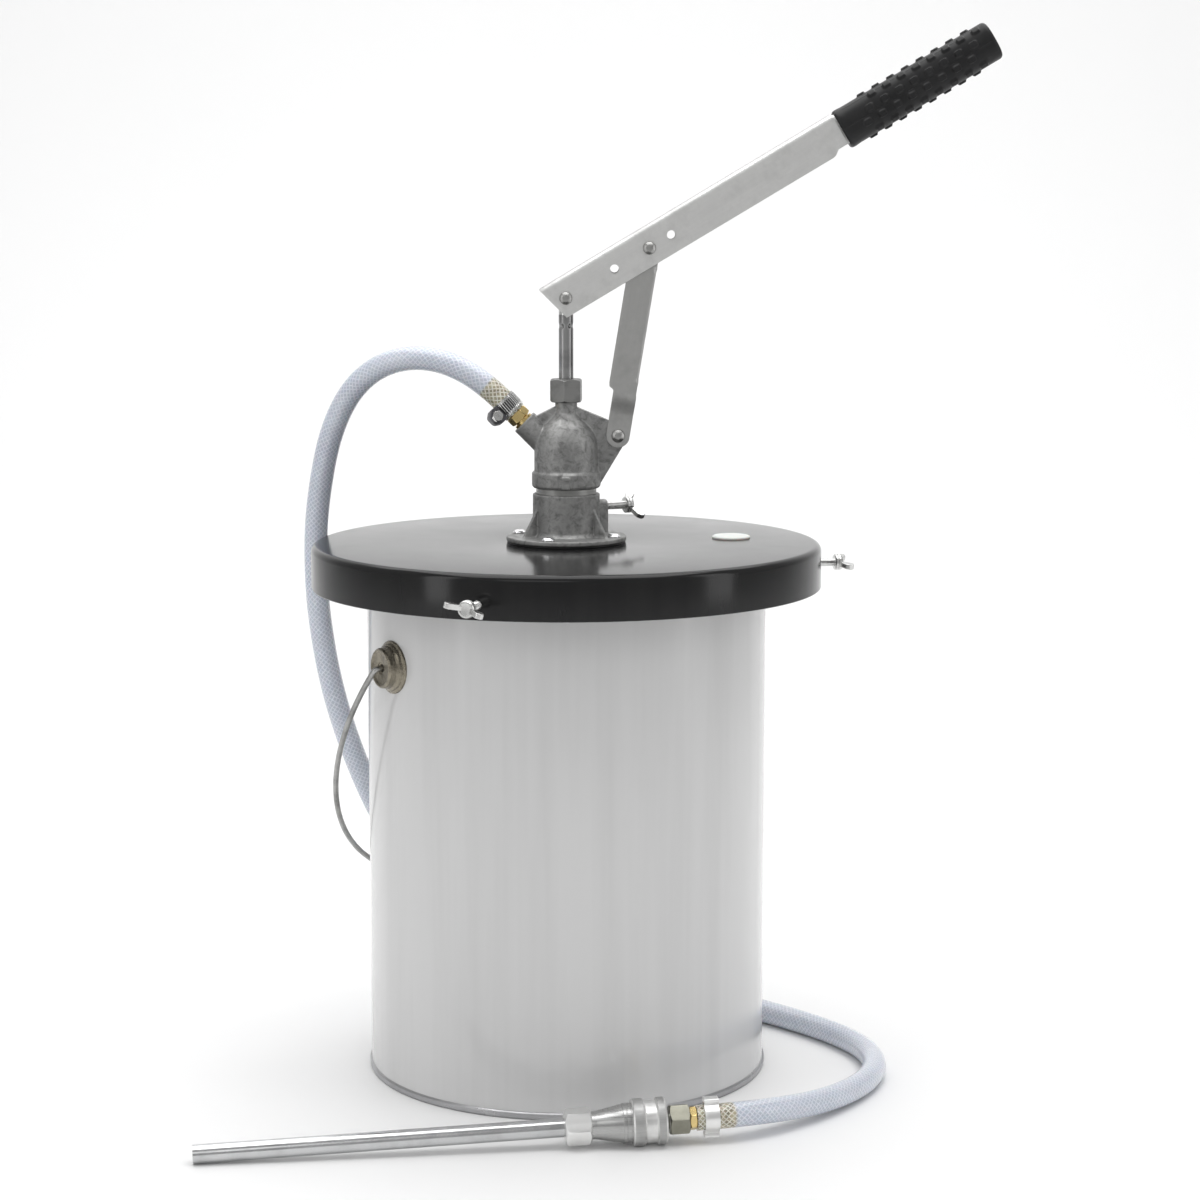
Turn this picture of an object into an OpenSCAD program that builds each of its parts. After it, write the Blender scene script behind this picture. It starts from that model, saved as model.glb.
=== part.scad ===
// Hand-lever piston pump for gear oil, standing on its own steel pail.
// Frame: millimetres, +Z up, +X towards the lever's handle.
// The origin is on the floor, on the common axis of the pail and the pump.

/* [Pail] */
// Outer diameter of the pail
pail_d = 286; // [284:1:290]
// Height of the pail's rim above the floor
pail_h = 381; // [370:1:390]
// Thickness of the pail's sheet
pail_t = 0.8; // [0.6:0.1:1.2]
// Direction of the far bail ear, in degrees from +X
ear_azimuth = 33; // [25:1:40]
// Height of the bail's pivot
ear_z = 304.5; // [295:0.5:310]
// Angle of the hanging bail below the horizontal
bail_drop = 49.5; // [47:0.5:50]

/* [Lid] */
// Outer diameter of the lid's skirt
lid_d = 364.6; // [360:0.2:366]
// Thickness of the lid's sheet
lid_t = 1.5; // [1.2:0.1:2]
// Height of the lid, from the skirt's lower edge to the top
lid_h = 30.8; // [28:0.2:34]
// Directions of the three wing screws, in degrees from +X
lid_screw_azimuths = [-108, 12, 132];
// Centre of the vent hole
vent_at = [119, 22];

/* [Pump] */
// Outer diameter of the barrel
barrel_d = 43; // [42:0.5:43]
// Wall of the barrel
barrel_wall = 1.8; // [1.5:0.1:2.5]
// Diameter of the base flange
flange_d = 86; // [84:1:92]
// Height of the base flange's sleeve above the lid
sleeve_h = 35; // [32:1:36]
// Diameter of the plunger rod
rod_d = 10.4; // [10:0.2:10.8]
// Across the flats of the packing nut
packing_nut_af = 21.5; // [20:0.5:24]
// Distance from the pump's axis along the outlet to its end face
outlet_face = 42.3; // [41:0.1:44]

/* [Linkage] */
// Angle of the lever above the horizontal at rest
lever_angle = 30.8; // [28:0.2:33]
// Distance between the lever's rod pivot and its link pivot
lever_arm = 68.5; // [67:0.5:70]
// Distance between the link's two pivots
link_length = 134.5; // [133:0.5:136]
// Link pivot on the pump head, from the pump's axis
lug_x = 37; // [36:0.5:38]
// Height of the link pivot on the pump head
lug_z = 459; // [458:0.5:460]
// Width of the lever channel
lever_w = 25; // [24:0.5:26]
// Depth of the lever channel
lever_depth = 27; // [26:0.5:28]
// Sheet of the lever and the link
strap_t = 2; // [1.8:0.1:2.2]
// Length of the grip
grip_length = 123; // [110:1:130]

/* [Hose and spout] */
// Outer diameter of the hose
hose_d = 17; // [16.5:0.1:17]
// Inner diameter of the hose
hose_bore = 12; // [11:0.5:13]
// Outer diameter of the spout tube
spout_d = 12.7; // [12:0.1:13]
// Length of the spout tube outside its nut
spout_length = 245.6; // [200:0.2:260]
// Direction of the spout's axis, in degrees from +X
spout_heading = 7.3; // [6:0.1:8]

/* [Hidden] */
$fn = 96;
play = 0.05;               // radial clearance of a running fit
gap = 0.3;                 // clearance between pieces that move apart
pail_r = pail_d / 2;
lid_r = lid_d / 2;
lid_top = pail_h + lid_t;
lid_low = lid_top - lid_h;
lid_screw_z = lid_low + 10.5;
lid_screw_reach = 17.6;
chime_h = 5;
bead_r = 2.5;

gasket_t = 1.2;
gasket_top = lid_top + gasket_t;
flange_t = 3.5;
flange_top = gasket_top + flange_t;
sleeve_top = lid_top + sleeve_h;
barrel_r = barrel_d / 2;
bore_r = barrel_r - barrel_wall;
rivet_circle = 72;
rivet_azimuths = [-20, 70, 160, -110];
rib_azimuths = [-34, 88, -150];
boss_azimuth = 25;
clamp_screw_z = 407;

collar_low = sleeve_top + 4;
collar_top = collar_low + 11.5;
dome_r = 22.8;
dome_z = 450;
neck_r = 7.7;
neck_top = 489.2;
packing_nut_low = 482.6;
packing_nut_h = 16.6;
ring_h = 2.2;
head_cavity_r = 18;
barrel_top = collar_top + 1.5;
seal_t = 1.5;
outlet_z = 438.7;          // where the outlet's axis meets the pump's axis

rod_r = rod_d / 2;
link_tilt = asin((lever_arm * cos(lever_angle) - lug_x) / link_length);
rod_pivot_z = lug_z + link_length * cos(link_tilt) - lever_arm * sin(lever_angle);
rod_top = rod_pivot_z - 12;
pin_r = 3;
lug_t = 8;

foot_low = 24;
barrel_low = 34;
foot_seat_z = 30;
foot_ball_r = 9.5;
foot_seat_r = 7;
foot_ball_z = foot_seat_z + sqrt(pow(foot_ball_r, 2) - pow(foot_seat_r, 2)) + 0.1;
foot_lift = 5;
stop_pin_r = 1.5;
stop_pin_z = foot_ball_z + foot_ball_r + foot_lift + gap + stop_pin_r;
spigot_top = stop_pin_z + 3.5;
strainer_low = 9;

piston_low = 84;
piston_land_h = 16;
piston_top = 122;
piston_seat_z = piston_low + 4;
piston_seat_r = 5;
piston_ball_r = 7.5;
piston_ball_z = piston_seat_z + sqrt(pow(piston_ball_r, 2) - pow(piston_seat_r, 2)) + 0.1;
piston_lift = 5;
piston_chamber_top = piston_ball_z + piston_ball_r + piston_lift + gap;
rod_low = 112;

lever_top = lever_depth / 2 + 1.3;   // top face above the line of the pivots
lever_low = lever_top - lever_depth;
lever_length = 224;                  // from the rod pivot to the grip's mouth
grip_start = 226;
grip_w = 27;
grip_depth = 29;
tongue_w = 18;
tongue_top = lever_top - 1;
tongue_low = -9;
spare_hole_r = 3.15;
spare_holes = [39.9, 86.4];

link_outer = lever_w / 2 - strap_t - gap;   // half the link's width at the top
link_inner = lug_t / 2 + gap;               // half the gap around the head's lug
link_left = -12.2;
link_right = 7.7;

spout_r = spout_d / 2;
spout_tail_r = spout_r - 0.35;        // the tube's end inside its nut
coupler_s = 302;                     // middle of the coupler's sleeve on the spout's axis
sleeve_r = 15.8;
spout_pitch = asin((sleeve_r - spout_r) / coupler_s);
spout_tip = [-243, -230, spout_r + 0.05];
nut_s = spout_length;
body_s = nut_s + 17.5;
sleeve_s = 290.5;
sleeve_end = 313.5;
sleeve_step = 303;
body_step = 296;
adaptor_s = 316;
adaptor_end = 329.5;
spout_hex_end = 334.4;
hose_r = hose_d / 2;

// Route of the hose, from the outlet's hexagon to the spout's, on a smooth spline
hose_route = [
    [-36.4, 0, 475.1], [-50, 0, 488.7], [-68, 2, 503], [-89, 7, 512], [-110, 14, 514],
    [-131, 23, 509], [-150, 32, 496], [-164, 40, 476], [-174, 47, 451], [-180, 53, 424],
    [-185, 57, 392], [-186, 59, 360], [-185, 61, 328], [-181, 62, 296], [-176, 63, 268],
    [-168, 65, 237], [-157, 71, 203], [-146, 79, 174], [-135, 90, 149], [-121, 104, 124],
    [-103, 119, 99], [-81, 134, 75], [-55, 147, 53], [-27, 155, 34], [2, 158, 20],
    [32, 156, 11], [62, 149, 8.6], [92, 136, 8.6], [121, 116, 8.6], [149, 90, 8.6],
    [176, 62, 8.6], [202, 29, 8.6], [220, -7, 8.6], [224, -47, 8.6], [212, -85, 8.6],
    [191, -118, 9.5], [166, -146, 12], [140, -168, 15.5], [114.5, -183.6, 17.7],
    [88.6, -187.5, 16.86]];

// ---- frames of the inclined assemblies ----

module on_outlet() {
    translate([0, 0, outlet_z]) rotate([0, -135, 0]) children();
}

module on_spout() {
    translate(spout_tip) rotate([0, -spout_pitch, spout_heading]) children();
}

module on_lever() {
    translate([0, 0, rod_pivot_z]) rotate([0, -lever_angle, 0]) children();
}

module on_link() {
    translate([lug_x, 0, lug_z]) rotate([0, link_tilt, 0]) children();
}

module on_bail() {
    translate([0, 0, ear_z]) rotate([0, 0, ear_azimuth]) children();
}

module around(azimuth, z) {
    rotate([0, 0, azimuth]) translate([0, 0, z]) children();
}

// ---- shapes that repeat ----

// Cylinder along X
module x_cylinder(r, from, to) {
    translate([from, 0, 0]) rotate([0, 90, 0]) cylinder(r = r, h = to - from);
}

// Solid turned about X from a list of [place along X, radius]
module x_turned(profile) {
    rotate([0, 90, 0]) rotate_extrude() polygon([for (p = profile) [p[1], p[0]]]);
}

// Cylinder along Y, centred on the XZ plane
module y_cylinder(r, length) {
    rotate([90, 0, 0]) cylinder(r = r, h = length, center = true);
}

module z_ring(r_out, r_in, from, to) {
    translate([0, 0, from]) difference() {
        cylinder(r = r_out, h = to - from);
        translate([0, 0, -1]) cylinder(r = r_in, h = to - from + 2);
    }
}

// Hexagonal prism along Z with chamfered corners
module hexagon(flats, height, chamfer = 1) {
    corner = flats / 2 / cos(30);
    intersection() {
        cylinder(r = corner, h = height, $fn = 6);
        rotate_extrude() polygon([
            [0, 0], [flats / 2, 0], [corner, chamfer], [corner, height - chamfer],
            [flats / 2, height], [0, height]]);
    }
}

module x_hexagon(flats, from, to, turn = 0) {
    translate([from, 0, 0]) rotate([0, 90, 0]) rotate([0, 0, turn]) hexagon(flats, to - from);
}

// Domed rivet head along +Z
module rivet_head(r, h) {
    ball = (r * r + h * h) / (2 * h);
    intersection() {
        translate([0, 0, h - ball]) sphere(r = ball);
        cylinder(r = r + 1, h = h + 1);
    }
}

// Pin along Y with two domed heads
module cross_pin(half_length, head_r, head_h) {
    y_cylinder(pin_r, 2 * half_length);
    for (side = [-1, 1]) translate([0, side * half_length, 0]) rotate([-90 * side, 0, 0])
        rivet_head(head_r, head_h);
}

// Wing screw along X, from its tip to its hub
module wing_screw(tip, hub, turn) {
    hub_length = 5.4;
    x_turned([[tip, 0], [tip, 2.2], [tip + 0.8, 3], [hub, 3], [hub, 5.2], [hub + 1, 5.9],
              [hub + hub_length - 1.4, 5.9], [hub + hub_length, 5], [hub + hub_length, 0]]);
    rotate([turn, 0, 0]) translate([hub, 0, 0]) rotate([90, 0, 0])
        linear_extrude(height = 2.6, center = true) for (side = [-1, 1]) {
            polygon([[0.6, side * 3], [5.4, side * 3], [11.4, side * 8], [5.8, side * 10.8]]);
            translate([8.4, side * 9.9]) circle(r = 3.2);
        }
}

// Turned hose tail along X: spigot, hexagon, then barbs that end at the given place
module barb(spigot_from, spigot_r, hex_from, hex_to, end, flats) {
    tail_r = hose_bore / 2 - 0.4;
    crest_r = hose_bore / 2 + 0.4;
    crests = 4;
    pitch = (end - hex_to) / crests;
    difference() {
        union() {
            x_cylinder(spigot_r, spigot_from, hex_from);
            x_hexagon(flats, hex_from, hex_to);
            for (i = [0 : crests - 1]) x_turned([
                [hex_to + i * pitch, 0], [hex_to + i * pitch, tail_r],
                [hex_to + i * pitch + 1, crest_r], [hex_to + (i + 1) * pitch, tail_r],
                [hex_to + (i + 1) * pitch, 0]]);
        }
        x_cylinder(4, spigot_from - 1, end + 1);
    }
}

// ---- swept tubes ----

function unit(v) = v / norm(v);

function with_ends(p) =
    concat([2 * p[0] - p[1]], p, [2 * p[len(p) - 1] - p[len(p) - 2]]);

// Points of a uniform cubic B-spline, one at each control point
function spline_knots(p) =
    let (q = with_ends(p)) [for (i = [1 : len(p)]) (q[i - 1] + 4 * q[i] + q[i + 1]) / 6];

function tangent(p, i) =
    unit(p[min(i + 1, len(p) - 1)] - p[max(i - 1, 0)]);

function square_to(v, t) = unit(v - (v * t) * t);

// Side vectors carried along the path without twist
function side_vectors(p, first) = [
    for (i = 0, v = square_to(first, tangent(p, 0)); i < len(p);
         i = i + 1, v = i < len(p) ? square_to(v, tangent(p, i)) : v) v];

module swept_tube(path, r, sides, first) {
    count = len(path);
    side = side_vectors(path, first);
    points = [for (i = [0 : count - 1], k = [0 : sides - 1])
        let (t = tangent(path, i), b = cross(t, side[i]), a = 360 * k / sides)
        path[i] + r * (cos(a) * side[i] + sin(a) * b)];
    walls = [for (i = [0 : count - 2], k = [0 : sides - 1])
        let (n = (k + 1) % sides)
        [i * sides + k, (i + 1) * sides + k, (i + 1) * sides + n, i * sides + n]];
    polyhedron(
        points = points,
        faces = concat(
            [[for (k = [0 : sides - 1]) k]],
            walls,
            [[for (k = [sides - 1 : -1 : 0]) (count - 1) * sides + k]]));
}

// ---- pail ----

module pail_body() {
    color("white") {
        z_ring(pail_r, pail_r - pail_t, chime_h, pail_h - bead_r);
        translate([0, 0, pail_h - bead_r]) rotate_extrude()
            translate([pail_r + 1.2, 0]) circle(r = bead_r);
    }
}

module pail_base() {
    color("silver") {
        z_ring(pail_r + 1.4, pail_r - 2, 0.6, chime_h);
        z_ring(pail_r + 0.8, pail_r - 1.4, 0, 0.6);
        translate([0, 0, chime_h - 1]) cylinder(r = pail_r - 2, h = 1);
    }
}

module bail_ears() {
    color("darkgray") on_bail() for (side = [0, 180]) rotate([0, 0, side]) difference() {
        union() {
            intersection() {
                x_cylinder(19, pail_r - 10, pail_r + 10);
                translate([0, 0, -30]) z_ring(pail_r + 1.6, pail_r + play, 0, 60);
            }
            difference() {
                x_turned([[pail_r - 3, 0], [pail_r - 3, 16.6], [pail_r + 2.4, 16.6],
                          [pail_r + 3.6, 15.4], [pail_r + 8.6, 14.2], [pail_r + 10, 13],
                          [pail_r + 10, 0]]);
                translate([0, 0, -30]) cylinder(r = pail_r + 1, h = 60);
            }
        }
        x_cylinder(2.6, pail_r + 2.5, pail_r + 20);
    }
}

bail_half = 159;
bail_straight = 35;
bail_bow = 226;

// Bail in its own plane, as [across, away from the pivot]
function bail_outline() = let (hook = [[147, 0], [152.6, 0], [155.2, 0.6], [156.6, 2.6], [157.2, 7], [158.4, 18]])
    concat(
        hook,
        [for (a = [0 : 4 : 180]) [bail_half * cos(a), bail_straight + bail_bow * sin(a)]],
        [for (i = [len(hook) - 1 : -1 : 0]) [-hook[i][0], hook[i][1]]]);

module bail_wire() {
    path = [for (p = bail_outline()) [p[0], p[1] * cos(bail_drop), -p[1] * sin(bail_drop)]];
    color("gainsboro") on_bail() swept_tube(path, 2, 8, [0, 0, 1]);
}

// ---- lid ----

module lid() {
    corner = 5;
    color([0.08, 0.08, 0.08]) difference() {
        rotate_extrude() difference() {
            union() {
                translate([0, lid_low]) square([lid_r, lid_h - corner]);
                translate([0, lid_low]) square([lid_r - corner, lid_h]);
                translate([lid_r - corner, lid_top - corner]) circle(r = corner);
            }
            translate([-1, lid_low - 1])
                square([lid_r - lid_t + 1, lid_h - corner + 1]);
            translate([-1, lid_low - 1]) square([lid_r - corner + 1, lid_h - lid_t + 1]);
            translate([lid_r - corner, lid_top - corner]) circle(r = corner - lid_t);
        }
        translate([0, 0, lid_top - 5]) cylinder(r = barrel_r + 1.5, h = 10);
        for (a = rivet_azimuths) around(a, lid_top - 5)
            translate([rivet_circle / 2, 0, 0]) cylinder(r = 2.1, h = 10);
        translate([vent_at[0], vent_at[1], lid_top - 5]) cylinder(r = 11, h = 10);
        for (a = lid_screw_azimuths) around(a, lid_screw_z) x_cylinder(3.3, lid_r - 20, lid_r + 20);
    }
    color([0.08, 0.08, 0.08]) rotate_extrude()
        translate([lid_r - lid_t - 1.2, lid_low]) square([1.2, 2.2]);
}

module lid_nuts() {
    nut_face = lid_r - lid_t - 0.12;
    color("silver") for (a = lid_screw_azimuths) around(a, lid_screw_z) difference() {
        x_hexagon(10, nut_face - 5, nut_face);
        x_cylinder(3 + play, nut_face - 6, nut_face + 1);
    }
}

module lid_screw(i, turn) {
    color("silver") around(lid_screw_azimuths[i], lid_screw_z)
        wing_screw(pail_r + gap, lid_r + lid_screw_reach, turn);
}

module lid_screw_1() {
    lid_screw(0, 75);
}

module lid_screw_2() {
    lid_screw(1, -80);
}

module lid_screw_3() {
    lid_screw(2, 40);
}

module vent_plug() {
    color("whitesmoke") translate([vent_at[0], vent_at[1], 0]) rotate_extrude() polygon([
        [0, lid_top - 6], [9, lid_top - 6], [10.8, lid_top - 4], [10.8, lid_top],
        [13.8, lid_top], [13.8, lid_top + 1.1], [12.6, lid_top + 2], [0, lid_top + 2.3]]);
}

// ---- base flange ----

module flange_gasket() {
    color([0.1, 0.1, 0.1]) difference() {
        z_ring(flange_d / 2 - 0.6, barrel_r + 1.5, lid_top, gasket_top);
        for (a = rivet_azimuths) around(a, lid_top - 1)
            translate([rivet_circle / 2, 0, 0]) cylinder(r = 2.1, h = 10);
    }
}

module flange_rib() {
    rotate([90, 0, 0]) linear_extrude(height = 2.6, center = true) polygon([
        [22.5, flange_top - 1], [36, flange_top - 1], [34.5, flange_top + 1],
        [24.5, flange_top + 19], [22.5, flange_top + 19]]);
}

module base_flange() {
    boss_r = 31;
    boss_low = gasket_top + 1;
    color("darkgray") difference() {
        union() {
            translate([0, 0, gasket_top]) rotate_extrude() polygon([
                [0, 0], [flange_d / 2, 0], [flange_d / 2, flange_t - 0.8],
                [flange_d / 2 - 0.8, flange_t], [25.5, flange_t], [24, flange_t + 1.5],
                [24, sleeve_top - gasket_top], [0, sleeve_top - gasket_top]]);
            for (a = rib_azimuths) around(a, 0) flange_rib();
            around(boss_azimuth, 0) {
                translate([15, -5, boss_low]) cube([boss_r - 15, 10, clamp_screw_z - boss_low]);
                translate([0, 0, clamp_screw_z]) x_cylinder(5, 15, boss_r);
            }
        }
        translate([0, 0, gasket_top - 1])
            cylinder(r = barrel_r + play, h = sleeve_top - gasket_top + 2);
        for (a = rivet_azimuths) around(a, gasket_top - 1)
            translate([rivet_circle / 2, 0, 0]) cylinder(r = 2.1, h = 10);
        around(boss_azimuth, clamp_screw_z) x_cylinder(3 + play, 15, boss_r + 1);
    }
}

module flange_rivets() {
    color("silver") for (a = rivet_azimuths) around(a, 0) translate([rivet_circle / 2, 0, 0]) {
        translate([0, 0, lid_top - lid_t - 0.1])
            cylinder(r = 2, h = flange_top - lid_top + lid_t + 0.2);
        translate([0, 0, flange_top + 0.1]) rivet_head(4.7, 2.6);
        translate([0, 0, lid_top - lid_t - 0.1]) rotate([180, 0, 0]) rivet_head(4, 1.6);
    }
}

module clamp_screw() {
    color("silver") around(boss_azimuth, clamp_screw_z) wing_screw(barrel_r + gap, 46, -54);
}

// ---- pump body ----

module barrel() {
    color("lightgray") z_ring(barrel_r, bore_r, barrel_low, barrel_top);
}

module head_seal() {
    color([0.15, 0.15, 0.15]) z_ring(barrel_r - 0.2, head_cavity_r + 0.4, barrel_top, barrel_top + seal_t);
}

module head_web() {
    side_z = lug_z - 8;
    rotate([90, 0, 0]) linear_extrude(height = lug_t, center = true) {
        polygon([[0, collar_top - 8], [24.6, collar_top - 8], [lug_x + 3.2, side_z],
                 [lug_x + 7.4, lug_z + 3], [lug_x - 8.5, lug_z + 11.5], [neck_r + 0.2, 479],
                 [0, 479]]);
        polygon([[0, outlet_z], [-26, 468], [-21, 473], [-neck_r - 0.6, 479.4], [0, 479]]);
        translate([lug_x, lug_z]) circle(r = 8);
    }
}

module pump_head() {
    color([0.6, 0.6, 0.6]) difference() {
        union() {
            rotate_extrude() polygon([
                [0, collar_low], [23, collar_low], [24.5, collar_low + 1.5],
                [24.5, collar_top - 0.8], [23.7, collar_top], [dome_r, collar_top + 0.6],
                [dome_r, dome_z], [0, dome_z]]);
            translate([0, 0, dome_z]) sphere(r = dome_r);
            rotate_extrude() polygon([
                [0, 460], [14, 466], [10.5, 471], [8.6, 474.5], [neck_r, 478],
                [neck_r, neck_top], [0, neck_top]]);
            head_web();
            on_outlet() x_turned([[8, 0], [8, 9.5], [outlet_face - 0.8, 9.5],
                                  [outlet_face, 8.7], [outlet_face, 0]]);
            translate([-3, -25.6, collar_low + 0.6]) cube([6, 4, 9]);
        }
        translate([0, 0, collar_low - 1])
            cylinder(r = barrel_r + play, h = barrel_top + seal_t - collar_low + 1);
        cylinder(r = head_cavity_r, h = dome_z);
        translate([0, 0, dome_z]) sphere(r = head_cavity_r);
        translate([0, 0, dome_z]) cylinder(r = rod_r + play, h = 60);
        on_outlet() {
            x_cylinder(4.5, 6, outlet_face + 1);
            x_cylinder(6.95, outlet_face - 9, outlet_face + 1);
        }
        translate([lug_x, 0, lug_z]) y_cylinder(pin_r + 0.01, lug_t + 2);
    }
}

module packing_nut() {
    color("darkgray") translate([0, 0, packing_nut_low]) difference() {
        rotate([0, 0, 25]) hexagon(packing_nut_af, packing_nut_h, 1.2);
        translate([0, 0, -1]) cylinder(r = neck_r + play, h = neck_top - packing_nut_low + 3 * ring_h + 1.1);
        cylinder(r = rod_r + play, h = packing_nut_h + 1);
    }
}

module gland_packing() {
    color("tan") for (i = [0 : 2])
        z_ring(neck_r - 0.02, rod_r + play, neck_top + i * ring_h, neck_top + (i + 1) * ring_h - 0.05);
}

// ---- plunger ----

module plunger_rod() {
    crimp_z = rod_pivot_z - 20;
    color("silver") difference() {
        translate([0, 0, rod_low]) cylinder(r = rod_r, h = rod_top - rod_low);
        translate([0, 0, rod_top - 14]) cylinder(r = 3, h = 15);
        for (a = [0 : 60 : 300]) rotate([0, 0, a]) translate([rod_r + 0.6, 0, crimp_z]) sphere(r = 1.4);
    }
}

module rod_end() {
    color("silver") translate([0, 0, rod_pivot_z]) difference() {
        union() {
            translate([0, 0, rod_top - rod_pivot_z - 13])
                cylinder(r = 2.95, h = 14);
            translate([0, 0, rod_top - rod_pivot_z]) cylinder(r = rod_r, h = 12);
            y_cylinder(6, rod_d);
        }
        y_cylinder(pin_r + play, rod_d + 2);
    }
}

module piston_body() {
    boss_r = 12;
    groove_r = 15;
    land_r = bore_r - 0.7;
    color("goldenrod") difference() {
        rotate_extrude() polygon([
            [0, piston_low], [land_r, piston_low], [land_r, piston_low + 1.5],
            [groove_r, piston_low + 1.5], [groove_r, piston_low + 7.5],
            [land_r, piston_low + 7.5], [land_r, piston_low + 8.5],
            [groove_r, piston_low + 8.5], [groove_r, piston_low + 14.5],
            [land_r, piston_low + 14.5], [land_r, piston_low + piston_land_h],
            [boss_r, piston_low + piston_land_h], [boss_r, piston_top], [0, piston_top]]);
        translate([0, 0, piston_low - 1]) cylinder(r = piston_seat_r, h = 10);
        translate([0, 0, piston_seat_z])
            cylinder(r = 9, h = piston_chamber_top - piston_seat_z);
        for (a = [45 : 90 : 315]) rotate([0, 0, a]) translate([0, 0, 103.4]) x_cylinder(2.6, 0, 20);
        translate([0, 0, rod_low]) cylinder(r = rod_r + 0.02, h = 20);
    }
}

module piston_cups() {
    color([0.12, 0.12, 0.12]) for (low = [piston_low + 1.6, piston_low + 8.6])
        translate([0, 0, low]) rotate_extrude() polygon([
            [15.05, 0], [bore_r - 0.9, 0], [bore_r - play, 1.6], [bore_r - play, 5.8],
            [bore_r - 1.6, 5.8], [bore_r - 2, 2.6], [15.05, 2.2]]);
}

module piston_nut() {
    color("silver") translate([0, 0, piston_top]) difference() {
        hexagon(17, 7);
        translate([0, 0, -1]) cylinder(r = rod_r + 0.02, h = 10);
    }
}

module piston_ball() {
    color("silver") translate([0, 0, piston_ball_z]) sphere(r = piston_ball_r);
}

// ---- foot valve ----

module foot_valve_body() {
    color("darkgray") difference() {
        union() {
            translate([0, 0, foot_low]) cylinder(r = barrel_r, h = barrel_low - foot_low);
            translate([0, 0, foot_low]) cylinder(r = bore_r - 0.02, h = spigot_top - foot_low);
        }
        translate([0, 0, foot_low - 1]) cylinder(r = foot_seat_r, h = 20);
        translate([0, 0, foot_seat_z]) cylinder(r = 13, h = 40);
        translate([0, 0, stop_pin_z]) x_cylinder(stop_pin_r + 0.01, -30, 30);
    }
}

module foot_ball() {
    color("silver") translate([0, 0, foot_ball_z]) sphere(r = foot_ball_r);
}

module foot_stop_pin() {
    color("silver") translate([0, 0, stop_pin_z]) x_cylinder(stop_pin_r, -bore_r + 0.6, bore_r - 0.6);
}

module suction_strainer() {
    color("gray") difference() {
        translate([0, 0, strainer_low]) cylinder(r = 20, h = foot_low - strainer_low);
        translate([0, 0, strainer_low + 1.5]) cylinder(r = 18.5, h = 30);
        for (a = [0 : 30 : 150]) rotate([0, 0, a]) translate([0, 0, strainer_low + 7])
            x_cylinder(2.5, -30, 30);
    }
}

// ---- linkage ----

// Cross-section of the lever channel, as [width, height], opening downwards
module channel_section(width, top, low) {
    bend = 3.5;
    inner_bend = bend - strap_t;
    half = width / 2;
    difference() {
        union() {
            translate([-half, low]) square([width, top - low - bend]);
            translate([-half + bend, low]) square([width - 2 * bend, top - low]);
            for (side = [-1, 1]) translate([side * (half - bend), top - bend]) circle(r = bend);
        }
        translate([-half + strap_t, low - 1])
            square([width - 2 * strap_t, top - low - bend + 1]);
        translate([-half + bend, low - 1]) square([width - 2 * bend, top - low - strap_t + 1]);
        for (side = [-1, 1]) translate([side * (half - bend), top - bend])
            circle(r = inner_bend);
    }
}

module channel(width, top, low, from, to) {
    translate([from, 0, 0]) rotate([90, 0, 90]) linear_extrude(height = to - from)
        channel_section(width, top, low);
}

module lever_channel() {
    front_lean = 14.5;
    color("silver") on_lever() difference() {
        union() {
            channel(lever_w, lever_top, lever_low, -20, lever_length);
            channel(tongue_w, tongue_top, tongue_low, lever_length - 6, 330);
        }
        translate([-13.4, 0, lever_top]) rotate([0, -front_lean, 0])
            translate([-40, -50, -60]) cube([40, 100, 80]);
        translate([lever_length - 13, -50, lever_low]) rotate([0, -16, 0])
            translate([0, 0, -20]) cube([40, 100, 20]);
        for (u = [0, lever_arm]) translate([u, 0, 0]) y_cylinder(pin_r + 0.01, 60);
        for (u = spare_holes) translate([u, 0, 0]) y_cylinder(spare_hole_r, 60);
    }
}

module grip_section(width, depth, corner) {
    square([width - 2 * corner, depth], center = true);
    square([width, depth - 2 * corner], center = true);
    for (sx = [-1, 1], sy = [-1, 1])
        translate([sx * (width / 2 - corner), sy * (depth / 2 - corner)]) circle(r = corner);
}

module lever_grip() {
    middle = 1.2;
    clearance = 0.1;
    color([0.07, 0.07, 0.07]) on_lever() difference() {
        translate([grip_start, 0, middle]) rotate([90, 0, 90])
            linear_extrude(height = grip_length) grip_section(grip_w, grip_depth, 10);
        translate([grip_start - 1, -tongue_w / 2 - clearance, tongue_low - clearance])
            cube([330 - grip_start + 2, tongue_w + 2 * clearance,
                  tongue_top - tongue_low + 2 * clearance]);
    }
}

module rod_pin() {
    color("silver") on_lever() cross_pin(lever_w / 2 + play, 4.8, 3);
}

module link_pin() {
    color("silver") on_lever() translate([lever_arm, 0, 0]) cross_pin(lever_w / 2 + play, 4.8, 3);
}

// Side view of the link: wide above the joggle, narrow at the head's lug
module link_outline() {
    head = link_length - 2.5;
    middle = (link_left + link_right) / 2;
    half = (link_right - link_left) / 2;
    translate([0, 0]) circle(r = 8.3);
    translate([-8.5, 0]) square([link_right + 8.5, 33]);
    translate([link_left, 33]) square([link_right - link_left, head - 33]);
    translate([middle, head]) circle(r = half);
}

// One side of the link, seen from its edge: straight, bent inwards, straight again
module link_side() {
    low = -12;
    polygon([
        [link_inner, low], [link_inner + strap_t, low], [link_inner + strap_t, 12],
        [link_outer, 32], [link_outer, 150], [link_outer - strap_t, 150],
        [link_outer - strap_t, 33], [link_inner, 13]]);
}

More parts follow.
